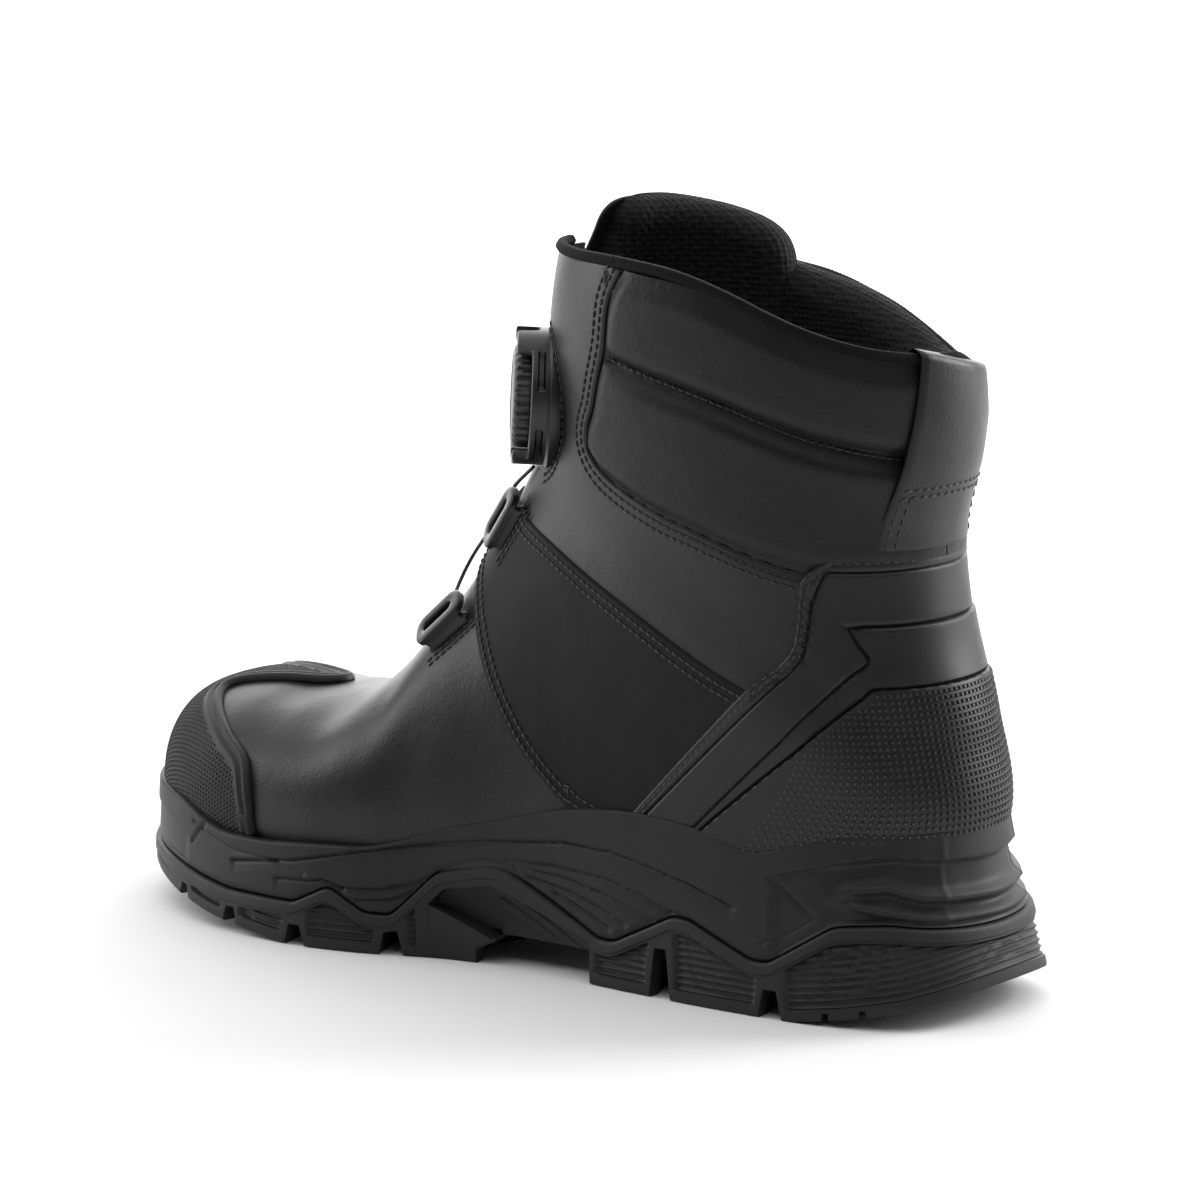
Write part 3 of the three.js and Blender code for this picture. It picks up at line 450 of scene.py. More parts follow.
# fills the region inside the edges: rows along its rim and its features, and an even filling
def patch(edges, step=1.1, rows=(0.35, 0.8, 1.5, 2.4), features=(), featureRows=(0.0, 0.3, 0.65, 1.1),
          chart=chart):
    outline = []
    for edge in edges:
        dense = evenly(smoothLine(edge), step, onUpper)
        outline.append(dense[:-1])
    b = np.vstack(outline)
    n = len(b)
    flat = b * chart
    area = 0.5 * np.sum(flat[:, 0] * np.roll(flat[:, 1], -1) - np.roll(flat[:, 0], -1) * flat[:, 1])
    tangent = np.roll(flat, -1, 0) - np.roll(flat, 1, 0)
    normal = np.column_stack([-tangent[:, 1], tangent[:, 0]]) * np.sign(area)
    normal /= np.maximum(np.linalg.norm(normal, axis=1, keepdims=True), 1e-9)
    s, a = b[:, 0], np.radians(b[:, 1])
    ds, da, _ = upperFrame(s, a)
    p3 = onUpper(b)
    t3 = np.roll(p3, -1, 0) - np.roll(p3, 1, 0)
    t3 /= np.maximum(np.linalg.norm(t3, axis=1, keepdims=True), 1e-9)
    inward = ds * (normal[:, 0] / chart[0])[:, None] + da * (np.radians(normal[:, 1] / chart[1]))[:, None]
    inward -= t3 * (inward * t3).sum(1, keepdims=True)
    inward /= np.maximum(np.linalg.norm(inward, axis=1, keepdims=True), 1e-9)
    tree = KDTree(n * 3)
    for i in range(n):
        for k in range(3):
            tree.insert(p3[i] + (p3[(i + 1) % n] - p3[i]) * k / 3, i * 3 + k)
    tree.balance()
    points = [b]
    for r in rows:
        rs, ra = slide(s, a, inward, r)
        row = np.column_stack([rs, np.degrees(ra)])
        d = np.array([tree.find(p)[2] for p in onUpper(row)])
        keep = (d > 0.86 * r) & inside(b, row)
        points.append(row[keep])
    lo, hi = flat.min(0), flat.max(0)
    us = np.arange(lo[0], hi[0], step * 0.87)
    cells = []
    for k, u in enumerate(us):
        v = np.arange(lo[1] + (k % 2) * step / 2, hi[1], step)
        cells.append(np.column_stack([np.full(len(v), u), v]))
    cells = np.vstack(cells) / chart
    cells = cells[inside(b, cells)]
    d = np.array([tree.find(p)[2] for p in onUpper(cells)])
    cells = cells[d > (rows[-1] if rows else 0) + step * 0.6]
    if features:
        lineAway = distanceTo(features)
        cells = cells[lineAway(onUpper(cells)) > featureRows[-1] + step * 0.5]
        held = []
        for f in features:
            core = evenly(smoothLine(f), step * 0.8, onUpper)
            cs, ca = core[:, 0], np.radians(core[:, 1])
            cp = onUpper(core)
            ct = np.gradient(cp, axis=0)
            ct /= np.maximum(np.linalg.norm(ct, axis=1, keepdims=True), 1e-9)
            cross = np.cross(upperFrame(cs, ca)[2], ct)
            for r in featureRows:
                for sign in ((1,) if r == 0 else (1, -1)):
                    rs, ra = slide(cs, ca, cross * sign, r)
                    row = np.column_stack([rs, np.degrees(ra)])
                    p = onUpper(row)
                    d = np.array([tree.find(q)[2] for q in p])
                    held.append(row[inside(b, row) & (d > rows[-1] + 0.3) & (lineAway(p) > r * 0.85)])
        points.append(np.vstack(held))
    points.append(cells)
    allPoints = np.vstack(points)
    coords2, _, tris, _, _, _ = delaunay_2d_cdt([Vector(p * chart) for p in allPoints],
                                               [(i, (i + 1) % n) for i in range(n)], [], 1, 1e-4)
    uv = np.array([tuple(c) for c in coords2]) / chart
    tris = np.array([t for t in tris if len(t) == 3])
    s, a = uv[:, 0], np.radians(uv[:, 1])
    points = upper(s, a)
    d = np.array([tree.find(p)[2] for p in points])
    return {"uv": uv, "tris": tris, "p": points, "n": upperFrame(s, a)[2], "edge": d, "s": s,
            "deg": uv[:, 1]}


# joins an outer and an inner sheet into one closed solid
def closeShell(outer, innerPoints, tris, outward):
    n = len(outer)
    v0, v1, v2 = (outer[tris[:, k]] for k in range(3))
    up = np.cross(v1 - v0, v2 - v0)
    flip = (up * outward[tris[:, 0]]).sum() < 0
    top = tris[:, ::-1] if flip else tris
    bottom = top[:, ::-1] + n
    count = {}
    for t in top:
        for k in range(3):
            count[(int(t[k]), int(t[(k + 1) % 3]))] = 1
    sides = [(b, a, a + n, b + n) for (a, b) in count if (b, a) not in count]
    vertices = np.vstack([outer, innerPoints])
    return vertices, [tuple(t) for t in top] + [tuple(t) for t in bottom] + sides


# smooth step from 0 to 1
def ease(x):
    x = np.clip(x, 0, 1)
    return x * x * (3 - 2 * x)


# rounds a cut edge: the drop at the edge fades over the width
def edgeRound(d, width, drop):
    k = np.clip(d / width, 0, 1)
    return -drop * (1 - np.sqrt(1 - (1 - k)**2))


# one closed piece of the upper, its outer face raised by height and its inner face set by thick
def panel(name, edges, height, thick, material, nodes, step=1.1, rows=(0.3, 0.7, 1.3, 2.1),
          inward=False, features=(), sharp=None, chart=chart):
    m = patch(edges, step, rows, features, chart=chart)
    h = height(m)
    outer = m["p"] + m["n"] * h[:, None]
    base = (h.min() - thick) if np.isscalar(thick) else thick(m)
    innerPoints = m["p"] + m["n"] * (np.zeros(len(h)) + base)[:, None]
    vertices, faces = closeShell(outer, innerPoints, m["tris"], -m["n"] if inward else m["n"])
    obj = addMesh(name, toFrame(vertices), faces, material, nodes=nodes)
    if sharp:
        obj.data.set_sharp_from_angle(angle=math.radians(sharp))
    print("made", name, len(faces))
    return obj


# seams of the upper, (section, degrees), left side
featherDeep = 26.0


# where the upper comes down to a level above the ground
def footLine(s0, s1, count, level=featherDeep):
    out = []
    for s in np.linspace(s0, s1, count):
        a = np.radians(np.arange(60, 179.5, 0.5))
        z = upper(np.full(len(a), s), a)[:, 2]
        k = np.argmax(z < level) if (z < level).any() else len(a) - 1
        out.append((s, math.degrees(a[k])))
    return out


seamA = [(11.72, 90), (11.49, 76), (11.35, 60), (11.30, 45), (11.28, 30), (11.27, 18), (11.27, 9.5)]
seamB = [(12.75, 4.5), (12.72, 16), (13.05, 32), (13.41, 47), (13.79, 67), (14.01, 82), (14.23, 99),
         (14.55, 125), (14.8, 150), (14.9, 180)]
seamD = [(19.17, 70), (18.44, 66.5), (17.45, 66), (16.51, 61.5), (15.95, 57.2), (15.55, 56), (15.38, 60),
         (15.42, 68), (15.62, 82), (15.82, 94), (16.16, 123), (16.5, 150), (16.6, 180)]
rimTop = [(18.22, -6), (18.24, 0), (18.35, 20), (18.65, 40), (18.89, 54), (19.25, 71), (19.47, 96),
          (19.27, 113), (19.12, 132), (19.13, 159), (19.12, 180)]


# points of the heel at one height
def levelLine(z, degrees):
    a = np.radians(np.asarray(degrees, float))
    lo, hi = np.full(len(a), 10.0), np.full(len(a), 20.0)
    for _ in range(30):
        mid = (lo + hi) / 2
        low = upper(mid, a)[:, 2] < z
        lo, hi = np.where(low, mid, lo), np.where(low, hi, mid)
    return [(float(q), float(d)) for q, d in zip(lo, degrees)]


# angle of the throat's edge at a section; the throat drifts to the far side as it rises
def throatDeg(s, side):
    z = sectionAt(np.array([s]))[0, 1]
    y = -11 * (z - 88) / 160 + 8 * side
    half = sectionAt(np.array([s]))[0, 5 if y > 0 else 6]
    return math.degrees(math.asin(np.clip(y / half, -1, 1)))


def throatEdge(s0, s1, count, side):
    return [(s, throatDeg(s, side)) for s in np.linspace(s0, s1, count)]


farDrop = [(0, 0), (30, 0.1), (60, 0.45), (96, 0.6), (132, 0.55), (160, 0.2), (180, 0)]


# section of the top rim at an angle, softened, and a little lower on the far side
def rimAt(deg):
    low = np.interp(-deg, [a for a, _ in farDrop], [d for _, d in farDrop]) if deg < 0 else 0
    near = np.abs(deg + np.array([-12, -8, -4, 0, 4, 8, 12]))
    return np.mean(np.interp(near, [a for _, a in rimTop], [s for s, _ in rimTop])) - low


pits = []  # stitch rows: points, faces, runs


# stitches along a seam, moved sideways by shiftBy and lifted by height
def stitchRow(line, shiftBy, side, height, pitch=2.7):
    line = [(s, a * side) for s, a in line]
    dense = evenly(smoothLine(line), 0.9, onUpper)
    s, a = dense[:, 0], np.radians(dense[:, 1])
    p = onUpper(dense)
    t = np.gradient(p, axis=0)
    t /= np.maximum(np.linalg.norm(t, axis=1, keepdims=True), 1e-9)
    n = upperFrame(s, a)[2]
    across = np.cross(n, t) * side
    ns, na = slide(s, a, across, shiftBy)
    row = evenly(np.column_stack([ns, np.degrees(na)]), pitch, onUpper)
    p = upperAt(row[:, 0], np.radians(row[:, 1]), height)
    n = upperFrame(row[:, 0], np.radians(row[:, 1]))[2]
    t = np.gradient(p, axis=0)
    t /= np.maximum(np.linalg.norm(t, axis=1, keepdims=True), 1e-9)
    pits.append((p, n, t))
    return row


pairs = {"left": 1, "right": -1}

# vamp
vamp = {
    "leather": 1.3,  # millimetres from the lowest outer point to the inner face
    "mesh": 1.3,
    "edge": (0.8, 0.7),  # width and drop of the rounded cut edge
    "hollows": ((94, 17, 67, 9, 0.7), (50, 33, 73, 9, 0.9), (72, 30, 70, 10, 0.5), (94, -17, 67, 9, 0.6),
                (50, -33, 73, 9, 0.9), (60, 0, 75, 12, 0.5), (30, 40, 62, 9, 0.5), (34, -40, 62, 9, 0.5)),
}
bumperRear = [(7.07, 113), (7.02, 96), (6.99, 84), (6.75, 64), (6.21, 53), (5.40, 38), (5.02, 28),
              (5.05, 23), (5.32, 19), (6.0, 13), (6.55, 9)]


# the vamp with its soft hollows
def vampHeight(m):
    p = m["p"]
    h = np.zeros(len(p))
    for x, y, z, r, deep in vamp["hollows"]:
        d2 = ((p - np.array([x, y, z]))**2 * np.array([1.6, 0.5, 0.5])).sum(1)
        h -= deep * np.exp(-d2 / (r * r))
    return h + edgeRound(m["edge"], *vamp["edge"])


slotRound = [(9.42 - 0.62 * math.sin(math.radians(b)), throatDeg(9.42, 1) * math.cos(math.radians(b)))
             for b in range(0, 181, 20)]
footLeft = footLine(0.3, 11.9, 24)
vampEdges = [
    [(11.45, throatDeg(11.45, 1))] + [(s, throatDeg(s, 1)) for s in (10.9, 10.3, 9.8, 9.42)],
    slotRound,
    [(s, throatDeg(s, -1)) for s in (9.42, 9.8, 10.3, 10.9)] + [(11.45, throatDeg(11.45, -1))],
    [(11.45, throatDeg(11.45, -1))] + [(s + 0.18, -a) for s, a in reversed(seamA[:-1])] + [(12.05, -112)],
    [(12.05, -112)] + [(s, -a) for s, a in reversed(footLeft[:-1])] + [(0.0, -150)],
    [(0.0, -150), (0.0, 0), (0.0, 150)],
    [(0.0, 150)] + footLeft[:-1] + [(12.05, 112)],
    [(12.05, 112)] + [(s + 0.18, a) for s, a in seamA[:-1]] + [(11.45, throatDeg(11.45, 1))],
]
panel("vamp_leather", vampEdges, vampHeight, vamp["leather"], smoothLeather, ["vamp"],
      step=vamp["mesh"])

# quarters, ankle panels, collar; proud is how far a piece stands off the surface, in millimetres
quarter = {"proud": 1.15, "edge": (0.9, 1.2), "leather": 0.9}
anklePanel = {"proud": 0.15, "edge": (0.8, 0.9), "leather": 0.7, "tuck": 0.17}
quarterFoot = footLine(11.95, 13.4, 8, 30)


def quarterHeight(m):
    return quarter["proud"] + edgeRound(m["edge"], *quarter["edge"])


def anklePanelHeight(m):
    return anklePanel["proud"] + edgeRound(m["edge"], *anklePanel["edge"])


for word, side in pairs.items():
    tip = throatDeg(12.75, side)
    low = throatDeg(11.27, side)
    sa = [(s, a * side) for s, a in seamA[:-1]]
    sb = [(s, a * side) for s, a in seamB[1:]]
    foot = [(s, a * side) for s, a in quarterFoot]
    edges = [
        [(11.27, low)] + list(reversed(sa)) + [(12.0, 112 * side)],
        [(12.0, 112 * side)] + foot + [(13.6, 179.7 * side)],
        [(13.6, 179.7 * side), (14.9, 179.7 * side)],
        [(14.9, 179.7 * side)] + list(reversed(sb[:-1])) + [(12.75, tip)],
        [(12.75, tip), (12.0, throatDeg(12.0, side)), (11.27, low)],
    ]
    panel("quarter_leather_" + word, edges, quarterHeight, quarter["leather"], buffedLeather,
          ["quarter_" + word])
    top = [(float(rimAt(a * side)), a * side) for a in (70.5, 60, 50, 40, 30, 20, 10)]
    tipTop = throatDeg(18.25, side)
    sd = [(s, a * side) for s, a in seamD]
    edges = [
        [(12.68, throatDeg(12.68, side))] + [(s - anklePanel["tuck"], a * side) for s, a in seamB[1:-1]]
        + [(14.7, 179.6 * side)], [(14.7, 179.6 * side), (16.6, 179.6 * side)],
        [(16.6, 179.6 * side)] + list(reversed(sd[1:-1])) + [(top[0][0] - 0.05, sd[0][1])],
        [(top[0][0] - 0.05, sd[0][1])] + top[1:] + [(18.25, tipTop)],
        [(18.25, tipTop)] + throatEdge(17.5, 13.4, 6, side) + [(12.68, throatDeg(12.68, side))],
    ]
    panel("ankle_leather_" + word, edges, anklePanelHeight, anklePanel["leather"], smoothLeather,
          ["ankle_panel_" + word])

collar = {
    "low": -0.9,  # level at the seam, below the ankle panel
    "puff": 2.9,  # height of the padding
    "crease": -1.9,  # depth and half width of the sewn channel
    "creaseWidth": 1.7,
    "leather": 0.8,
    "rows": (0.6, 1.4),
}
quilt = [(17.35, 60), (17.42, 68), (17.70, 99), (17.76, 126), (17.82, 152), (17.82, 180)]
for word, side in pairs.items():
    sd = [(s - 0.12, a * side) for s, a in seamD[1:]]
    top = [(float(rimAt(a * side)), a * side) for a in (180, 159, 132, 113, 96, 71, 64)]
    edges = [
        [(16.45, 179.7 * side)] + list(reversed(sd[:-1])) + [(float(rimAt(63 * side)), 63 * side)],
        [(float(rimAt(63 * side)), 63 * side)] + list(reversed(top[:-1]))[1:-1] + [(19.12, 179.7 * side)],
        [(19.12, 179.7 * side), (16.45, 179.7 * side)],
    ]
    channel = distanceTo([[(s, a * side) for s, a in quilt]])
    seamNear = distanceTo([[(s, a * side) for s, a in seamD]])
    rimNear = distanceTo([[(float(rimAt(a * side)), a * side) for s, a in rimTop[4:]]])

    def collarHeight(m):
        c, b, r = channel(m["p"]), seamNear(m["p"]), rimNear(m["p"])
        puff = collar["puff"] * ease(c / 6.5) ** 0.8 * ease(b / 5.5) ** 0.7 * (0.3 + 0.7 * ease(r / 8))
        crease = collar["crease"] * np.exp(-(c / collar["creaseWidth"])**2) * ease(b / 4)
        return collar["low"] + puff + crease

    obj = panel("collar_leather_" + word, edges, collarHeight, collar["leather"], collarLeather,
                ["collar_panel_" + word], rows=collar["rows"])

# inner mesh pads: the outer side stays under the collar leather, the inner side swells into the opening
collarPad = {
    "edge": -1.6,
    "deep": 8.2,
    "swell": 9,  # millimetres over which the pad reaches its full depth
    "outer": -1.15,  # level of the hidden side at the edge, and how far it sinks from there
    "sink": 3.0,
    "knit": 0.22,
    "knitDegrees": 2.9,
    "knitPitch": 2.6,
    "mesh": 0.75,
}
padFoot = [(14.6, 62), (14.9, 90), (15.2, 130), (15.4, 180)]
for word, side in pairs.items():
    edges = [
        [(s, a * side) for s, a in padFoot[:-1]] + [(15.4, 179.6 * side)],
        [(15.4, 179.6 * side), (19.17, 179.6 * side)],
        [(19.17, 179.6 * side)]
        + [(float(rimAt(a * side)) + 0.05, a * side) for a in (159, 132, 113, 96, 71, 56)],
        [(float(rimAt(56 * side)) + 0.05, 56 * side), (17, 58 * side), (15.5, 60 * side),
         (14.6, 62 * side)],
    ]

    def padHeight(m):
        d = m["edge"]
        bulge = np.sqrt(np.clip(1 - (1 - np.clip(d / collarPad["swell"], 0, 1))**2, 0, 1))
        body = collarPad["edge"] - collarPad["deep"] * bulge
        wide, pitch = collarPad["knitDegrees"], collarPad["knitPitch"]
        along = np.sin(m["s"] * 13 * 2 * math.pi / pitch + np.floor(m["deg"] / wide) * math.pi)
        knit = collarPad["knit"] * np.sin(m["deg"] * 2 * math.pi / wide) * along
        return body + knit * ease(d / 2)

    obj = panel("collar_mesh_" + word, edges, padHeight,
                lambda m: collarPad["outer"] - collarPad["sink"] * ease((m["edge"] - 1.5) / 4),
                meshMat, ["collar_pad_" + word], step=collarPad["mesh"], inward=True)
print("quarters, ankle panels and collar made")

# tongue, leaning over to the far side toward its top
tongue = {
    "lean": -39,  # degrees at the top
    "edge": -4.0,
    "deep": 8.6,
    "swell": 8,
    "knit": 0.25,
    "knitDegrees": 3.1,
    "knitPitch": 2.8,
    "mesh": 0.75,
    "leatherOut": -2.35,
    "leatherIn": -3.9,
}
tongueEdge = [(9.0, 24), (11.5, 29), (13.2, 40), (15, 50), (16.6, 50), (17.6, 43), (18.5, 38.5),
              (19.1, 35.5), (19.4, 29), (19.51, 17), (19.53, 0)]
edges = [[(9.0, -24), (9.0, 24)], tongueEdge, list(reversed([(s, -a) for s, a in tongueEdge]))]


# how far the tongue turns at a section, in degrees
def tongueLean(q):
    return tongue["lean"] * ease((q - 12.5) / 6)


def tongueHeight(m):
    d = m["edge"]
    bulge = np.sqrt(np.clip(1 - (1 - np.clip(d / tongue["swell"], 0, 1))**2, 0, 1)) ** 0.8
    body = tongue["edge"] - tongue["deep"] * bulge
    wide, pitch = tongue["knitDegrees"], tongue["knitPitch"]
    along = np.sin(m["s"] * 13 * 2 * math.pi / pitch + np.floor(m["deg"] / wide) * math.pi)
    knit = tongue["knit"] * np.sin(m["deg"] * 2 * math.pi / wide) * along
    return body + knit * ease(d / 2)


edges = [[(q, a + tongueLean(q) - (7 * ease((q - 16) / 2) if a > 0 else 0)) for q, a in e] for e in edges]
obj = panel("tongue_mesh", edges, tongueHeight, lambda m: tongue["edge"] + 0.8 * ease(m["edge"] / 2),
            meshMat, ["tongue_pad"], step=tongue["mesh"], inward=True)
inner = [(s - 0.05 if s < 19 else s - 0.12, a * (0.93 if s < 16 else 1.0)) for s, a in tongueEdge]
edges = [[(9.05, -22.3), (9.05, 22.3)], [(9.05, 22.3)] + inner[1:],
         list(reversed([(s, -a) for s, a in inner[1:]])) + [(9.05, -22.3)]]
edges = [[(q, a + tongueLean(q)) for q, a in e] for e in edges]
panel("tongue_leather", edges, lambda m: tongue["leatherOut"] + edgeRound(m["edge"], 1.2, 0.6),
      lambda m: tongue["leatherIn"], smoothLeather, ["tongue_shell"])
print("tongue made")

# binding
binding = {
    "radius": 1.65,
    "around": 28,  # points round the roll
    "knit": 0.16,  # height and pitch of the knitted loops
    "knitPitch": 1.9,
    "sink": -0.5,
    "rise": 1.0,
    "farOut": 0.7,  # the far side turns a little outward and down
    "farDown": 2.2,
}
bindDeg = np.arange(9, 346, 0.35)
line = np.array([[rimAt(a if a <= 180 else a - 360), a] for a in bindDeg])
line = evenly(line, 0.55, onUpper)
turn = np.where(line[:, 1] > 180, line[:, 1] - 360, line[:, 1])
farSide = ease((-turn - 25) / 35) * ease((178 + turn) / 14)
centre = upperAt(line[:, 0], np.radians(line[:, 1]), binding["sink"] + binding["farOut"] * farSide)
centre[:, 2] += binding["rise"] - binding["farDown"] * farSide
tangent = np.gradient(centre, axis=0)
tangent /= np.linalg.norm(tangent, axis=1, keepdims=True)
upDir = np.array([0, 0, 1.0]) - tangent * tangent[:, 2:3]
upDir /= np.linalg.norm(upDir, axis=1, keepdims=True)
sideDir = np.cross(tangent, upDir)
around = binding["around"]
run = np.concatenate([[0], np.cumsum(np.linalg.norm(np.diff(centre, axis=0), axis=1))])
ringPoints = []
for k in range(around):
    b = 2 * math.pi * k / around
    wave = run * 2 * math.pi / binding["knitPitch"]
    r = binding["radius"] + binding["knit"] * np.sin(wave + b * 3) * np.sin(wave - b * 3)
    ringPoints.append(centre + (sideDir * math.cos(b) + upDir * math.sin(b)) * r[:, None])
v = np.stack(ringPoints, 1).reshape(-1, 3)
n = len(line)
faces = [(i * around + k, (i + 1) * around + k, (i + 1) * around + (k + 1) % around,
          i * around + (k + 1) % around) for i in range(n - 1) for k in range(around)]
faces += [tuple(range(around)), tuple((n - 1) * around + k for k in reversed(range(around)))]
addMesh("collar_piping", toFrame(v), faces, bindingMat, nodes=["collar_binding"])

# toe bumper
bumper = {
    "proud": 1.2,
    "outerRib": (1.1, 1.4, 1.0),  # height, distance from the edge and width
    "innerRib": (0.9, 4.4, 1.0),
    "valley": (-0.2, 2.9, 0.6),
    "rubber": 0.5,
    "mesh": 0.9,
}
bumperFoot = footLine(0.3, 7.1, 16, 24.5)
rearLine = bumperRear + [(6.9, 5), (7.0, 0), (6.9, -5)] + [(s, -a) for s, a in reversed(bumperRear)]
edges = [
    rearLine,
    [(7.07, -113)] + [(s, -a) for s, a in reversed(bumperFoot[:-1])] + [(0.0, -150)],
    [(0.0, -150), (0.0, 0), (0.0, 150)],
    [(0.0, 150)] + bumperFoot[:-1] + [(7.07, 113)],
]
rearNear = distanceTo([rearLine])


# two ribs along the rear edge of the bumper
def bumperHeight(m):
    d = rearNear(m["p"])
    h = bumper["proud"]
    for high, at, wide in (bumper["outerRib"], bumper["innerRib"], bumper["valley"]):
        h = h + high * np.exp(-((d - at) / wide)**2)
    return h + edgeRound(np.minimum(d, 9), 0.7, 1.3)


panel("toe_bumper_rubber", edges, bumperHeight, bumper["rubber"], rubberMat, ["toe_bumper"],
      step=bumper["mesh"], rows=(0.3, 0.7, 1.1, 1.6, 2.1, 2.6, 3.1, 3.6, 4.1, 4.6, 5.2))
print("binding and toe bumper made")

# heel support: a strap edge, a groove behind it, a chevron band and a lower cup
support = {
    "proud": 1.9,
    "groove": (0.85, 0.42),  # depth and half width
    "edgeLine": (0.35, 2.1, 0.5),  # depth, distance from the strap's edge and half width
    "bandRise": 0.75,
    "cupRise": 0.95,
    "plastic": 0.5,
    "mesh": 0.95,
    "sharp": 50,
}


# closely spaced points along straight lines of the side view
def straight(points, spacing=4.5):
    dense = [points[0]]
    for (x0, z0), (x1, z1) in zip(points[:-1], points[1:]):
        count = max(1, round(math.hypot(x1 - x0, z1 - z0) / spacing))
        dense += [(x0 + (x1 - x0) * k / count, z0 + (z1 - z0) * k / count) for k in range(1, count + 1)]
    return [(float(s), float(a)) for s, a in trace(dense)]


border = straight([(-48.4, 52.4), (-69, 74), (-87.6, 93.3), (-98, 102), (-101.4, 106.5), (-102.4, 112),
                   (-102.8, 121), (-103.6, 127.4)])
border += [(16.52, 134)] + levelLine(134.4, (141, 147, 155, 163, 171, 180))
groove = straight([(-53.4, 52.4), (-101.1, 99.4), (-104.6, 104.5), (-105.7, 109.7), (-106.6, 120.6)])
groove += [(16.3, 132)] + levelLine(129.3, (138, 144, 150, 160, 170, 180))
chevron = levelLine(113.6, (180, 172, 164, 156, 148, 141))
tip = trace([(-115.6, 113.2)])[0]
chevron.append((float(tip[0]), float(tip[1])))
chevronB = straight([(-115.6, 113.2), (-120.9, 103.8), (-99.3, 79.1), (-70, 50.4)])
second = levelLine(96, (180, 172, 164, 156, 150))
second += straight([(-123.3, 96), (-105.5, 78.2), (-79.4, 56.1), (-74, 51.4)])
full = border + [(s, 360 - a) for s, a in reversed(border[:-1])]
edges = [full,
         [full[-1], (12.0, 254)],
         [(12.0, 254), (12.6, 240), (13.1, 222), (13.5, 200), (13.55, 180), (13.5, 160), (13.1, 138),
          (12.6, 120), (12.0, 106)],
         [(12.0, 106), full[0]]]


# a line and its mirror across the heel
def bothSides(line):
    return [line, [(s, 360 - a) for s, a in line]]


borderNear = distanceTo([full])
grooveNear = distanceTo(bothSides(groove))
chevronNear = distanceTo(bothSides(chevron))
chevronSide = distanceTo(bothSides(chevronB))
secondNear = distanceTo(bothSides(second))
cupLine = np.array([p for p in smoothLine(second, 10)[::-1] if p[1] > 114])
cupFoot = [(12.95, 244), (13.1, 222), (13.3, 180), (13.1, 138), (12.95, 116)]
cupChart = np.vstack([cupLine, [(q, 360 - d) for q, d in cupLine[::-1]], cupFoot])


# chart points folded onto the left half
def wrapped(uv):
    uv = uv.copy()
    uv[:, 1] = np.where(uv[:, 1] > 180, 360 - uv[:, 1], uv[:, 1])
    return uv


bandLow = np.vstack([[(chevron[0][0], 181)], smoothLine(chevron, 8), smoothLine(chevronB, 8),
                     smoothLine(second, 8)[::-1], [(second[0][0], 181)]])
cupHalf = np.vstack([[(15.9, 181)], smoothLine(second, 8), [(11.5, 104), (11.5, 181)]])
cupHalf[0, 0] = second[0][0]


# strap, groove, chevron band and cup
def supportHeight(m):
    p = m["p"]
    uv = wrapped(m["uv"])
    low, cup = inside(bandLow, uv), inside(cupHalf, uv)
    dBorder, dGroove = borderNear(p), grooveNear(p)
    dV, dW, dS = chevronNear(p), chevronSide(p), secondNear(p)
    dC = np.minimum(dV, dW)
    h = support["proud"] + edgeRound(dBorder, 1.0, support["proud"])
    deep, wide = support["groove"]
    h -= deep * np.exp(-(dGroove / wide)**2)
    deep, away, wide = support["edgeLine"]
    h -= deep * np.exp(-((dBorder - away) / wide)**2)
    h += np.where(low, support["bandRise"] * ease(dC / 0.7) * ease(dS / 0.6), 0)
    h += np.where(cup, support["cupRise"] * ease(dS / 0.5), 0)
    h -= 1.0 * np.exp(-(dV / 0.5)**2) + 0.7 * np.exp(-(dW / 0.4)**2) + 0.5 * np.exp(-(dS / 0.4)**2)
    return h


panel("heel_support_tpu", edges, supportHeight, support["plastic"], tpuMat, ["heel_support"],
      step=support["mesh"], rows=(0.3, 0.6, 1.0, 1.6, 2.1, 2.6), sharp=support["sharp"],
      chart=np.array([24.0, 0.62]),
      features=bothSides(groove) + bothSides(chevron) + bothSides(chevronB) + bothSides(second))

# a stitch row halfway between the strap's edge and its groove
borderLine, grooveLine = smoothLine(border, 6), smoothLine(groove, 6)
borderAt, grooveAt = onUpper(borderLine), onUpper(grooveLine)
pairing = np.argmin(np.linalg.norm(borderAt[:, None] - grooveAt[None], axis=2), axis=1)
between = borderLine * 0.52 + grooveLine[pairing] * 0.48
between = [(float(s), float(a)) for s, a in evenly(between[4:-2], 3.0, onUpper)]
for side in (1, -1):
    stitchRow(between, 0, side, 1.62, 2.7)
print("heel support made")

# pull tab: a strap sewn to the heel, folded over the rim
pullTab = {
    "length": 78.0,  # millimetres along the strap from its sewn foot
    "foot": 134.8,  # height of the foot and of the climb up the heel
    "climb": 55,
    "sewn": 58,  # length that lies against the heel
    "leather": 1.5,
    "edgeThin": 0.9,
}
backSections = np.linspace(15, 20, 60)
backLevels = upper(backSections, np.full(60, math.pi))[:, 2]
tabLevels = np.linspace(0, 1, 60)
tabAcross = np.linspace(-1, 1, 34)


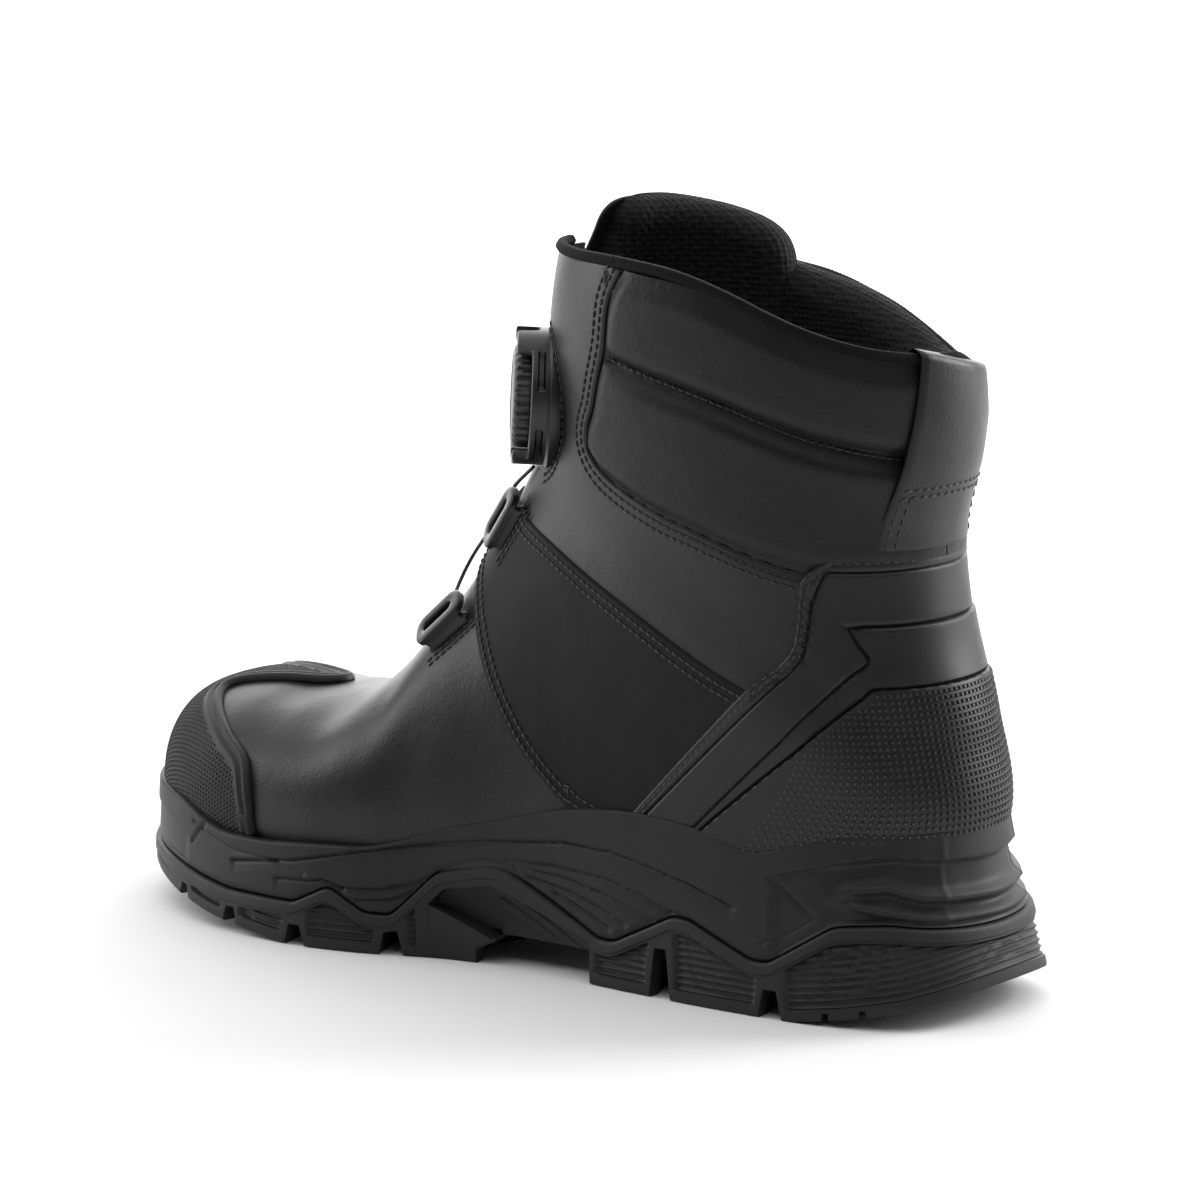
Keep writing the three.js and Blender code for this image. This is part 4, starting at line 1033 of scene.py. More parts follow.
# a point of the pull tab: v up the strap, u across it, thick above the heel
def tabPoint(v, u, thick):
    up = v * pullTab["length"]
    level = pullTab["foot"] + min(up, pullTab["sewn"]) / pullTab["sewn"] * pullTab["climb"]
    half = np.interp(up, [0, 20, 38, 56, 62, 78], [23.6, 20.4, 18.4, 16.2, 15.6, 15.0])
    off = np.interp(up, [0, 6, 12, 24, 40, 52, 58, 61, 64, 78], [1.0, 1.2, 1.8, 3.0, 3.2, 2.6, 2.2, -2.2,
                                                                 -5.6, -7.0])
    lift = np.interp(up, [0, 52, 58, 60.5, 63, 66, 78], [0, 0, 1.2, 3.0, 2.0, -1.5, -13])
    s = np.interp(level, backLevels, backSections)
    row = sectionAt(np.array([s]))[0]
    y = half * u * (1 - 0.02 * u * u)
    a = math.pi - math.asin(np.clip(y / row[5 if y > 0 else 6], -0.99, 0.99)) * 0.96
    p = upperAt([s], [a], off + thick)[0]
    p[1] = y * 0.35 + p[1] * 0.65
    p[2] += (level - upper(np.array([s]), np.array([a]))[0, 2]) * 0.85
    lift += (0.8 - 3.6 * (1 - u)) * float(ease((up - 28) / 30))
    return p + np.array([0, 0, lift])


thin = pullTab["edgeThin"]
outer = np.array([[tabPoint(v, u, pullTab["leather"] - thin * (abs(u) > 0.985)) for u in tabAcross]
                  for v in tabLevels])
under = np.array([[tabPoint(v, u, 0.0) for u in tabAcross] for v in tabLevels])
nv, nu = outer.shape[:2]
tri = []
for i in range(nv - 1):
    for j in range(nu - 1):
        k = i * nu + j
        tri += [(k, k + 1, k + nu + 1), (k, k + nu + 1, k + nu)]
tri = np.array(tri)
flatOuter = outer.reshape(-1, 3)
flatUnder = under.reshape(-1, 3)
vertices, faces = closeShell(flatOuter, flatUnder, tri, flatOuter - flatUnder)
addMesh("pull_tab_leather", toFrame(vertices), faces, smoothLeather, nodes=["pull_tab"])
print("pull tab made")

# sole walls: outlines on the ground and at the brim, along the left side and back along the right
ground = np.array([
    (-156, 0), (-152, 22), (-141, 36), (-118, 44.5), (-85, 46.5), (-50, 45), (-15, 42), (15, 44), (44, 54),
    (69, 57.5),
    (99, 53.5), (124, 42), (144, 24), (154.5, 2), (155, -12), (150, -28), (134, -42), (106, -50), (69, -52),
    (34, -47), (-6, -40), (-46, -40), (-86, -43), (-116, -43), (-140, -35.5), (-152, -22)], float)
brim = np.array([
    (-145.5, 0), (-142, 17), (-131, 29), (-113, 37.5), (-83, 42.5), (-50, 43), (-15, 43.5), (15, 47),
    (43, 51.5),
    (67, 52.5), (95, 49.5), (118, 43), (135.5, 31), (147, 6), (147, -10), (141, -27), (127, -40),
    (103, -46.3),
    (68, -47), (34, -43.5), (-6, -41), (-46, -40.5), (-86, -40.5), (-112, -36.5), (-131, -28), (-142, -16)],
    float)


# a smooth closed curve through the points at parameter t
def loopAt(points, t):
    n = len(points)
    t = np.asarray(t, float) % n
    i = t.astype(int)
    u = (t - i)[:, None]
    a, b, c, d = points[(i - 1) % n], points[i], points[(i + 1) % n], points[(i + 2) % n]
    return 0.5 * (2 * b + (c - a) * u + (2 * a - 5 * b + 4 * c - d) * u**2 + (-a + 3 * b - 3 * c + d)
                  * u**3)


# points of the sole wall at parameter t and height z, moved outward by out
def wall(t, z, out):
    v = np.clip((z - 6) / 50, 0, 1)
    k = (v * v * (3 - 2 * v) * 0.35 + v * 0.65)[:, None]
    p = loopAt(ground, t) * (1 - k) + loopAt(brim, t) * k
    d = loopAt(ground, t + 0.02) - loopAt(ground, t - 0.02)
    n = np.column_stack([-d[:, 1], d[:, 0]])
    n /= np.linalg.norm(n, axis=1, keepdims=True)
    return np.column_stack([p + n * np.asarray(out)[:, None], z])


# height of a side line at x
def lineZ(points, x):
    p = sorted(points)
    return np.interp(x, [q[0] for q in p], [q[1] for q in p])


rimLine = [(170, 23), (156, 20.5), (142, 18), (119, 16), (92, 13), (65, 13), (54, 18.5), (52, 18.5),
           (41, 12.2), (33, 12), (20, 25.4),
           (17, 27), (1, 30.5), (-4, 30), (-38, 14), (-44, 14), (-66, 24.8), (-72, 24.6), (-94, 16),
           (-100, 16), (-121, 28), (-127, 28.8), (-139, 29.5), (-170, 26)]
featherLine = [(170, 40), (142, 38), (120, 35.5), (106, 31), (97, 29.5), (80, 29.5), (60, 31), (41, 32),
               (26, 36),
               (20, 39), (4, 43), (-25, 51), (-40, 53), (-52, 53.5), (-72, 52), (-94, 46.5), (-124, 54.5),
               (-145, 56), (-170, 55)]
treadLine = [(-170, 14), (-156, 10.5), (-148, 7.5), (-140, 5.2), (-124, 2.2), (-108, 0), (0, 0), (59, 0),
             (72, 0.6), (88, 2.5), (100, 4), (113, 6), (126, 8), (142, 10.5), (156, 13.5), (170, 17)]
windowTop = [(22, 16.5), (17, 21.5), (1, 24.5), (-35, 12.5)]
# middle, width and top of each gap between lugs
gaps = [(-130, 1.8, 7.4), (-119, 1.8, 5.8), (-101, 4.6, 8.5), (-62, 4.6, 15), (33, 4.2, 7.5),
        (64, 4.0, 6.5), (90, 3.6, 9.0), (114, 3, 11.4)]

tTip = 13.35
dense = np.linspace(0, tTip, 6000)
densePoints = loopAt(ground, dense)
walk = np.concatenate([[0], np.cumsum(np.linalg.norm(np.diff(densePoints, axis=0), axis=1))])
marks = np.interp(np.arange(0, walk[-1], 0.85), walk, dense)
edgesX = []
for x, width, _ in gaps:
    for sign in (-1, 1):
        edgesX += [x + sign * (width / 2 + 0.12), x + sign * (width / 2 - 0.12),
                   x + sign * (width / 2 + 0.7)]
edgesX += [0.1, -0.1, 21.9, 22.1, -35.4, -35.1, 7.0, 6.8]
extra = [np.interp(x, densePoints[:, 0], dense) for x in edgesX]
leftT = np.unique(np.round(np.concatenate([marks, extra, [tTip]]), 5))
far = np.linspace(26, tTip, 6000)
farX = loopAt(ground, far)[:, 0]
columnX = loopAt(ground, leftT)[:, 0]
rightT = np.interp(columnX, farX, far)
rightT[0], rightT[-1] = 26, tTip


def smoothRim(x):
    return sum(lineZ(rimLine, x + d) for d in (-1.5, -0.75, 0, 0.75, 1.5)) / 5


def smoothFeather(x):
    return sum(lineZ(featherLine, x + d) for d in (-4, -2, 0, 2, 4)) / 5


# the top of the gap at x, if there is one
def gapAt(x):
    for gx, width, top in gaps:
        if abs(x - gx) < width / 2:
            return top
    return None


# distance from side view points to a broken line
def segmentDistance(x, z, line):
    best = np.full(np.shape(x), 1e9)
    for (x0, z0), (x1, z1) in zip(line[:-1], line[1:]):
        dx, dz = x1 - x0, z1 - z0
        k = np.clip(((x - x0) * dx + (z - z0) * dz) / (dx * dx + dz * dz), 0, 1)
        best = np.minimum(best, np.hypot(x - x0 - k * dx, z - z0 - k * dz))
    return best


# 0 above a side line and -1 below it, fading out at the line's ends
def above(x, z, line, soft=0.9, fade=5):
    xs = [p[0] for p in line]
    lo, hi = min(xs), max(xs)
    return (ease((z - lineZ(line, x)) / soft + 0.5) - 1) * ease((x - lo) / fade) * ease((hi - x) / fade)


# quads over the left and the right columns
def stitchSides(rowsLeft, rowsRight):
    columns, rows = len(rowsLeft), len(rowsLeft[0])
    left, right = np.array(rowsLeft), np.array(rowsRight)
    v = np.vstack([left.reshape(-1, 3), right.reshape(-1, 3)])
    off = columns * rows
    faces = []
    for i in range(columns - 1):
        for j in range(rows - 1):
            a, b, c, d = i * rows + j, i * rows + j + 1, (i + 1) * rows + j + 1, (i + 1) * rows + j
            faces.append((a, b, c, d))
            faces.append((off + d, off + c, off + b, off + a))
    return v, faces


# a sole piece with doubles merged and its faces turned outward
def soleMesh(name, v, faces, material, nodes):
    obj = addMesh(name, toFrame(v), faces, material, nodes=nodes)
    b = bmesh.new()
    b.from_mesh(obj.data)
    bmesh.ops.remove_doubles(b, verts=b.verts, dist=1e-6)
    bmesh.ops.dissolve_degenerate(b, edges=b.edges, dist=1e-6)
    bmesh.ops.recalc_face_normals(b, faces=b.faces)
    b.to_mesh(obj.data)
    b.free()
    obj.data.set_sharp_from_angle(angle=math.radians(42))
    print("made", name, len(obj.data.polygons))
    return obj


outsole = {
    "lugRows": 44,  # rows of points down each lug
    "lugPitch": 2.05,  # pitch and height of the ribs round the lugs
    "lugRib": 0.8,
    "archPitch": 3.3,  # the same for the slanting ribs of the arch wall
    "archRib": 0.55,
    "archInset": -4.35,
    "lugInset": 1.25,
    "pocketInset": 7.0,
    "flare": (1.5, 3.0),  # gaps widen toward the ground: amount and reach
}


# one column of the outsole, from the middle over the wall and under to the middle again
def outsoleColumn(t, x):
    zr = smoothRim(x)
    zg = lineZ(treadLine, x)
    gap = gapAt(x)
    notch = 0
    if gap is not None and x < -110:
        notch, gap = gap, None
    arch = -35.25 < x < 0
    pocket = 0 <= x < 22
    if 0 <= x < 6.9:
        zg = 7.5 - 3.5 * x / 7
    base = 10.0 if -38 < x < 24 else 11.0
    # distance to the nearest lug edge
    lugEdges = [g[0] + s * g[1] / 2 for g in gaps[2:] for s in (-1, 1)] + [-35.3, 22]
    near = min(abs(x - e) for e in lugEdges)
    inset = ease((near - 2.4) / 0.8)
    zA, zB = zr - 4.4, zg + 3.6
    tread = zg
    if notch:
        zg = zB - 1.5
    deep = outsole["lugInset"] * inset
    if x > 118 or (22 <= x < 26):
        deep = 0
    if pocket:
        zA, zB = float(lineZ(windowTop, x)), 7.5 + 9 * x / 22
        zA = max(zA, zB + 0.4)
        deep = outsole["pocketInset"] * ease((zA - zB) / 4)
    if arch:
        zA = float(lineZ(windowTop, x))
    rows = [(base, -5.2), (zr - 1.0, -5.0), (zr - 0.25, -4.4), (zr, -3.6), (zr, -0.4), (zr - 0.35, 0.25),
            (zr - 0.9, 0.45)]
    bandFoot = zr - 3.6 if not (pocket or arch) else max(zA + 0.8, zr - 3.6)
    for k in range(1, 4):
        rows.append((zr - 0.9 + (bandFoot + 0.3 - zr + 0.9) * k / 3, 0.45))
    rows.append((bandFoot, 0.0))
    count = outsole["lugRows"]
    if arch:
        for k in range(4):
            rows.append((zA - 0.03 * k, outsole["archInset"] * k / 3))
        for k in range(count - 12):
            z = zA - 0.15 + (9.0 - zA + 0.15) * k / (count - 13)
            slant = math.cos((z - x * 0.5) * 2 * math.pi / outsole["archPitch"])
            rib = outsole["archRib"] * max(0, slant) * ease((zA - z) / 1.2)
            rows.append((z, outsole["archInset"] + rib))
        rows += [(9.0, -4.4)] * 8
        ceiling = 9.0
    elif gap is not None:
        top = min(gap, zr - 5)
        start = bandFoot - 0.1
        for k in range(count):
            rows.append((start + (top - start) * (k + 1) / count, 0.0))
        ceiling = top
    else:
        zA = min(zA, bandFoot - 0.3)
        for k in range(4):
            rows.append((zA + (0.0 if k else 0.15) - 0.12 * k, 0.0 if k == 0 else -deep * k / 3))
        body = count - 12
        tall = zA - 0.5 - (zB + 0.4)
        for k in range(body):
            z = zA - 0.5 - tall * k / (body - 1)
            rib = 0.0
            if not pocket and deep > 0.05:
                level = math.cos((z - tread) * 2 * math.pi / outsole["lugPitch"])
                rib = outsole["lugRib"] * inset * max(0, level) ** 0.8 * (0.9 if tall > 2.5 else 0)
            if pocket:
                slant = math.cos((z - x * 0.5) * 2 * math.pi / outsole["archPitch"])
                rib = outsole["archRib"] * max(0, slant) * ease((zA - z) / 1.2)
            rows.append((z, -deep + rib))
        for k in range(4):
            rows.append((zB + 0.4 - 0.13 * (k + 1), -deep * (1 - (k + 1) / 4)))
        foot = zB - 0.2
        rows += [(foot + (zg + 1.0 - foot) * 0.5, 0.0), (zg + 1.0, 0.0), (zg + 0.3, -0.25), (zg, -0.9)]
        ceiling = zg
    out = np.array([r[1] for r in rows], float)
    zs = np.array([r[0] for r in rows], float)
    inner = [(9.0, -4.4)] * 3 if arch else [(ceiling, -1.6), (ceiling, -4.0), (ceiling, -4.4)]
    zs = np.concatenate([zs, [i[0] for i in inner]])
    out = np.concatenate([out, [i[1] for i in inner]])
    # the columns beside a gap lean away from it toward the ground
    spread = 0.0
    flare, reach = outsole["flare"]
    for gx, width, _ in gaps[2:]:
        if abs(x - gx) >= width / 2:
            spread += math.copysign(flare, x - gx) * math.exp(-(abs(x - gx) - width / 2) / reach)
    along = spread * np.clip((max(zr - 6, tread + 6) - zs) / 7, 0, 1) * (out < 0.6)
    pace = (loopAt(ground, np.array([t + 0.01]))[0, 0] - loopAt(ground, np.array([t - 0.01]))[0, 0]) / 0.02
    shiftT = along / pace if abs(pace) > 6 else along * 0
    p = wall(t + shiftT, zs, out)
    edge = p[-1]
    first = p[0]
    sx = x * 0.955
    sy = np.interp(sx, [-156, -120, 0, 60, 110, 155], [0, 0.8, 1.6, 2.5, 1.5, -6])
    top = 9.0 if arch else ceiling
    groove = min(top + 5, 8.6) if gap is None and not arch else top
    bottom = []
    for f in (0.08, 0.2, 0.34, 0.44, 0.45, 0.52, 0.53, 0.6, 0.75, 0.89, 0.90, 1.0):
        z = groove if f in (0.45, 0.52, 0.90, 1.0) and not arch else top
        lead = 9 * math.sin(f * math.pi) * (0 if abs(x) > 128 else 1)
        forward = edge[0] + (sx - edge[0]) * f + lead * (1 - abs(x) / 160)
        bottom.append((forward, edge[1] + (sy - edge[1]) * f, z))
    spineTop = (sx, sy, base)
    half = first + (np.array(spineTop) - first) * 0.5
    return np.vstack([[spineTop], [half], p, bottom])


left = [outsoleColumn(t, x) for t, x in zip(leftT, columnX)]
right = [outsoleColumn(t, x) for t, x in zip(rightT, columnX)]
for l, r in zip(left, right):
    mid = (l[0] + r[0]) / 2
    l[0] = r[0] = mid
    mid = (l[-1] + r[-1]) / 2
    l[-1] = r[-1] = mid
for k in range(len(left[0])):
    left[0][k] = right[0][k] = (left[0][k] + right[0][k]) / 2
    left[-1][k] = right[-1][k] = (left[-1][k] + right[-1][k]) / 2
v, faces = stitchSides(left, right)
soleMesh("outsole_tread", v, faces, rubberMat, ["outsole"])

# side lines of the midsole in x and z: the long groove, its fins, the steps and the ridges round the heel
sweep = [(91, 22.0), (67, 25.5), (42, 31.0), (24, 34.5), (0, 38), (-25, 41.0), (-43, 40.5), (-53, 38.7),
         (-72, 35.0), (-88, 30.5)]
finLines = [
    [(-5, 32.7), (-21, 33.5), (-40, 32.5), (-54, 29.5), (-68, 25.4)],
    [(-8, 31.3), (-25, 30.5), (-39, 28.0), (-54, 24.5), (-60, 22.5)],
    [(-12, 29.0), (-28, 26.5), (-39, 23.5), (-49, 19.8)],
    [(-22, 25.6), (-35, 21.0), (-43, 17.6)],
    [(72, 19.5), (59, 20.3), (55, 21.2), (48, 19.2)],
    [(50, 19.0), (36, 20.0), (23, 23.5)],
    [(44, 16.0), (33, 17.0), (27, 19.5)]]
bandStep = [(-100, 40.8), (-114, 44.2), (-124, 46.5), (-134, 48), (-142, 48.6), (-158, 46.5)]
ridgeOne = [(-118, 37.3), (-128, 38.8), (-139, 40), (-147, 37.5), (-158, 36)]
ridgeTwo = [(-118, 36.3), (-130, 34.4), (-142, 32.5), (-150, 31.0), (-158, 30.5)]
arrow = [(-100, 40.8), (-108, 35.5), (-115, 30.2), (-107, 25.4), (-98, 21.5)]
chamfer = [(112, 30.0), (106, 28), (91, 25), (74, 24.5), (62, 22)]
toeStep = [(158, 33), (146, 31.5), (130, 28.5), (118, 26.5), (112, 24.0)]
midsole = {
    "sweep": 0.75,  # depths of the lines
    "fin": 0.65,
    "bandStep": 1.1,  # heights of the steps
    "toeStep": 0.7,
    "bowl": 1.6,
    "ridges": (2.3, 2.0),
    "rows": 58,
}


# relief of the midsole wall at x for the heights z
def midsoleOut(x, z):
    out = np.zeros(len(z))
    xs = np.full(len(z), x)
    for line, depth in ((sweep, midsole["sweep"]),) + tuple((f, midsole["fin"]) for f in finLines):
        out -= depth * np.exp(-(segmentDistance(xs, z, line) / 0.6)**2)
        fan = segmentDistance(xs, z, line)
        under = (z < lineZ(line, x)) & (x > min(p[0] for p in line)) & (x < max(p[0] for p in line))
        out -= 0.35 * under * np.exp(-(fan / 2.6)**2)
    out -= 0.5 * np.exp(-(segmentDistance(xs, z, arrow) / 0.6)**2)
    out += midsole["bandStep"] * above(xs, z, bandStep, 0.9, 4)
    heel = ease((-116 - x) / 16)
    bowl = heel * ease((lineZ(bandStep, x) - z) / 2)
    out -= bowl * midsole["bowl"]
    out += midsole["ridges"][0] * heel * np.exp(-((z - lineZ(ridgeOne, x)) / 1.9)**2)
    out += midsole["ridges"][1] * heel * np.exp(-((z - lineZ(ridgeTwo, x)) / 1.7)**2)
    out -= 0.7 * heel * np.exp(-((z - lineZ(ridgeOne, x) + 2.6) / 1.4)**2)
    out -= 0.6 * np.exp(-(segmentDistance(xs, z, chamfer) / 0.7)**2)
    out += midsole["toeStep"] * above(xs, z, toeStep, 0.8, 5)
    out -= 0.8 * np.exp(-(segmentDistance(xs, z, [(112, 24.0), (106, 31)]) / 0.7)**2)
    return out + np.exp(-((x + 151.3) / 0.5)**2) * 0.35  # mould seam behind the heel


# one column of the midsole
def midsoleColumn(t, x):
    zr, zf = smoothRim(x), smoothFeather(x)
    base = 17.4 if -38 < x < 24 else 11.4
    lead = min(zr - 0.6, max(base + 0.2, zr - 1.5))
    rows = [(base, -5.8), (lead, -5.8), (zr + 0.35, -5.6), (zr + 0.35, -1.3), (zr + 0.6, -0.95)]
    zs = zr + 0.9 + (zf - 0.7 - zr - 0.9) * np.linspace(0, 1, midsole["rows"])
    zone = ease((zs - zr) / 3)
    out = -0.75 + 0.75 * zone + midsoleOut(x, zs) * ease((zs - zr - 0.4) / 1.5) * ease((zf - zs) / 1.2)
    tail = [(zf - 0.25, -0.15), (zf, -0.6), (zf + 0.1, -1.3), (zf + 0.1, -2.6), (zf - 1.5, -6.5),
            (22.0, -8.5), (21.2, -10)]
    z = np.concatenate([[r[0] for r in rows], zs, [r[0] for r in tail]])
    o = np.concatenate([[r[1] for r in rows], out, [r[1] for r in tail]])
    p = wall(np.full(len(z), t), z, o)
    sx = x * 0.93
    sy = np.interp(sx, [-156, -120, 0, 60, 110, 155], [0, 0.8, 1.6, 2.5, 1.5, -6])
    return np.vstack([[(sx, sy, base)], p, [(sx, sy, 21.2)]])


left = [midsoleColumn(t, x) for t, x in zip(leftT, columnX)]
right = [midsoleColumn(t, x) for t, x in zip(rightT, columnX)]
for l, r in zip(left, right):
    for k in (0, -1):
        l[k] = r[k] = (l[k] + r[k]) / 2
for k in range(len(left[0])):
    left[0][k] = right[0][k] = (left[0][k] + right[0][k]) / 2
    left[-1][k] = right[-1][k] = (left[-1][k] + right[-1][k]) / 2
v, faces = stitchSides(left, right)
soleMesh("midsole_foam", v, faces, foamMat, ["midsole"])

# arch shank
shank = {"foot": 10.5, "rows": 24, "columns": 80, "inset": -5.6, "rib": 0.45, "ribPitch": 3.2}
xs = np.linspace(-33.5, -0.6, shank["columns"])
shankLeft, shankRight = [], []
leftShank = np.interp(xs, densePoints[:, 0], dense)
rightShank = np.interp(xs, farX[::-1], far[::-1])
for store, ts in ((shankLeft, leftShank), (shankRight, rightShank)):
    for x, t in zip(xs, ts):
        top = min(16.9, float(lineZ(windowTop, x)) - 0.4)
        zs = np.linspace(shank["foot"], max(top, 11.2), shank["rows"])
        wave = np.maximum(0, np.cos((zs * 0.8 + x * 0.55) * 2 * math.pi / shank["ribPitch"]))
        rib = shank["rib"] * wave * ease((zs - shank["foot"]) / 0.8) * ease((top - zs) / 0.8)
        p = wall(np.full(shank["rows"], t), zs, shank["inset"] + rib)
        low, high = p[0].copy(), p[-1].copy()
        low[1] = high[1] = 0.0
        store.append(np.vstack([[low], p, [high]]))
for l, r in zip(shankLeft, shankRight):
    for k in (0, -1):
        l[k] = r[k] = (l[k] + r[k]) / 2
v, faces = stitchSides(shankLeft, shankRight)
rows = len(shankLeft[0])
off = len(shankLeft) * rows
for i, flip in ((0, False), (len(shankLeft) - 1, True)):
    loop = [i * rows + j for j in range(rows)] + [off + i * rows + j for j in reversed(range(rows))][1:-1]
    faces.append(tuple(loop if flip else reversed(loop)))
soleMesh("arch_shank_plate", v, faces, plasticMat, ["arch_shank"])
print("outsole, midsole and shank made")

# dial, guard and guides: the dial's middle in millimetres, its axis outward and its upward direction
dialOrigin = np.array([1.2228, 12.1394, 166.8698])
dialOut = np.array([0.78414, 0.61857, 0.04997])
dialUp = np.array([-0.07665, 0.01663, 0.99692])
dialAcross = np.cross(dialOut, dialUp)


# a point in the dial's own directions
def dialPoint(x, y, z):
    p = dialOrigin + np.outer(np.ravel(x), dialUp) + np.outer(np.ravel(y), dialAcross)
    return (p + np.outer(np.ravel(z), dialOut)) * 0.001


# a piece turned round the dial's axis; wave changes the radius round each ring
def turned(name, profile, around, material, body, nodes, wave=None, sharp=35):
    rows = len(profile)
    b = 2 * math.pi * np.arange(around) / around
    pts = []
    for i, (r, z) in enumerate(profile):
        rr = np.full(around, float(r))
        if wave:
            rr = rr + wave(i, r, z, b)
        pts.append(dialPoint(rr * np.cos(b), rr * np.sin(b), np.full(around, z)))
    v = np.vstack(pts)
    faces = [(i * around + k, i * around + (k + 1) % around, (i + 1) * around + (k + 1) % around,
              (i + 1) * around + k) for i in range(rows - 1) for k in range(around)]
    faces.append(tuple(reversed(range(around))))
    faces.append(tuple((rows - 1) * around + k for k in range(around)))
    obj = addMesh(name, v, faces, material, body=body, nodes=nodes)
    obj.data.set_sharp_from_angle(angle=math.radians(sharp))
    return obj


# finger grips round the knob
def knobWave(i, r, z, b):
    if r < 14.2:
        return 0 * b
    return -dial["gripDepth"] * (0.5 + 0.5 * np.cos(b * dial["grips"])) ** 1.5


# radius and height of each ring of the turned pieces, in millimetres
dial = {
    "grips": 30,
    "gripDepth": 0.55,
    "knob": [(11.8, 5.9), (14.2, 3.6), (15.0, 4.0), (15.4, 4.6), (15.4, 6.0), (15.35, 7.6), (15.2, 8.8),
             (14.6, 9.7), (13.6, 10.2), (12.2, 10.4), (11.8, 10.15), (11.2, 10.1), (6, 10.1), (3, 10.1)],
    "spool": [(11.2, 3.35), (11.2, 4.0), (10.9, 4.3), (10.9, 5.0), (11.2, 5.3), (11.2, 5.45), (4.0, 5.45),
              (4.0, 7.9)], "base": [(14.2, -2.5), (14.2, 2.6), (13.9, 2.95), (12.0, 3.0), (3.0, 3.0)],
}
turned("dial_knob_grip", dial["knob"], 180, plasticMat, "knob", ["dial_knob"], knobWave)
turned("dial_spool_drum", dial["spool"], 72, plasticMat, "spool", ["dial_spool"])
turned("dial_base_ring", dial["base"], 96, plasticMat, "boot", ["dial_base"])

# guard: a flange round the dial with a raised slotted wall on each side, ending in prongs above and below
guard = {
    "around": 260,
    "wall": 5.4,  # height of the wall, of the prongs above it and of the dips between the prongs
    "prong": 4.4,
    "dip": 3.2,
    "flangeFoot": -3.5,
    "wallFoot": 0.4,
    "steps": 26,
    "slot": 2.2,
}
around, lower, foot, steps = guard["around"], guard["flangeFoot"], guard["wallFoot"], guard["steps"]
ringRows = []
for k in range(around):
    b = 2 * math.pi * k / around
    upright, aside = abs(math.cos(b)), abs(math.sin(b))
    prong = ease((upright - 0.80) / 0.07) * ease((aside - 0.10) / 0.06)
    wallTop = guard["wall"] + guard["prong"] * prong
    if aside < 0.14:
        wallTop = guard["dip"] + 2.0 * ease((aside - 0.08) / 0.06)
    slotOpen = ease((upright - 0.30) / 0.04) * ease((0.80 - upright) / 0.04)
    profile = [(15.0, lower), (20.6, lower), (21.4, -1.2), (21.4, -0.4), (20.7, 0.1)]
    for j in range(steps):
        z = foot + (wallTop - 0.4 - foot) * j / (steps - 1)
        slotDeep = slotOpen * ease((z - foot - 0.9) / 0.5) * ease((wallTop - 1.7 - z) / 0.5)
        profile.append((20.3 - guard["slot"] * slotDeep, z))
    profile += [(20.05, wallTop - 0.1), (19.6, wallTop), (17.6, wallTop), (17.1, wallTop - 0.2),
                (16.9, wallTop - 0.6), (16.9, 3.1), (15.0, 3.0)]
    ringRows.append(dialPoint([r * math.cos(b) for r, z in profile], [r * math.sin(b) for r, z in profile],
                              [z for r, z in profile]))
v = np.vstack(ringRows)
n = len(profile)
faces = []
for k in range(around):
    here, there = k * n, ((k + 1) % around) * n
    faces += [(here + j, there + j, there + (j + 1) % n, here + (j + 1) % n) for j in range(n)]
obj = addMesh("dial_guard_ring", v, faces, plasticMat, nodes=["dial_guard"])
obj.data.set_sharp_from_angle(angle=math.radians(38))


# a rectangle with round corners
def roundedLoop(w, h, r, per=8):
    out = []
    for cx, cy, a0 in ((w / 2 - r, h / 2 - r, 0), (-w / 2 + r, h / 2 - r, 90), (-w / 2 + r, -h / 2 + r,
                                                                                180), (w / 2 - r, -h / 2
                                                                                       + r, 270)):
        for k in range(per + 1):
            b = math.radians(a0 + 90 * k / per)
            out.append((cx + r * math.cos(b), cy + r * math.sin(b)))
    return np.array(out)


guide = {
    "plate": (20, 11, 4.2),  # length, width and corner radius
    "slot": (12.5, 4.2, 2.0),
    "leg": (15.5, 3.2, 1.2),
    "bow": 0.5,  # how far the ends of the plate bend down
    "stitches": (8.3, 10.6),
}


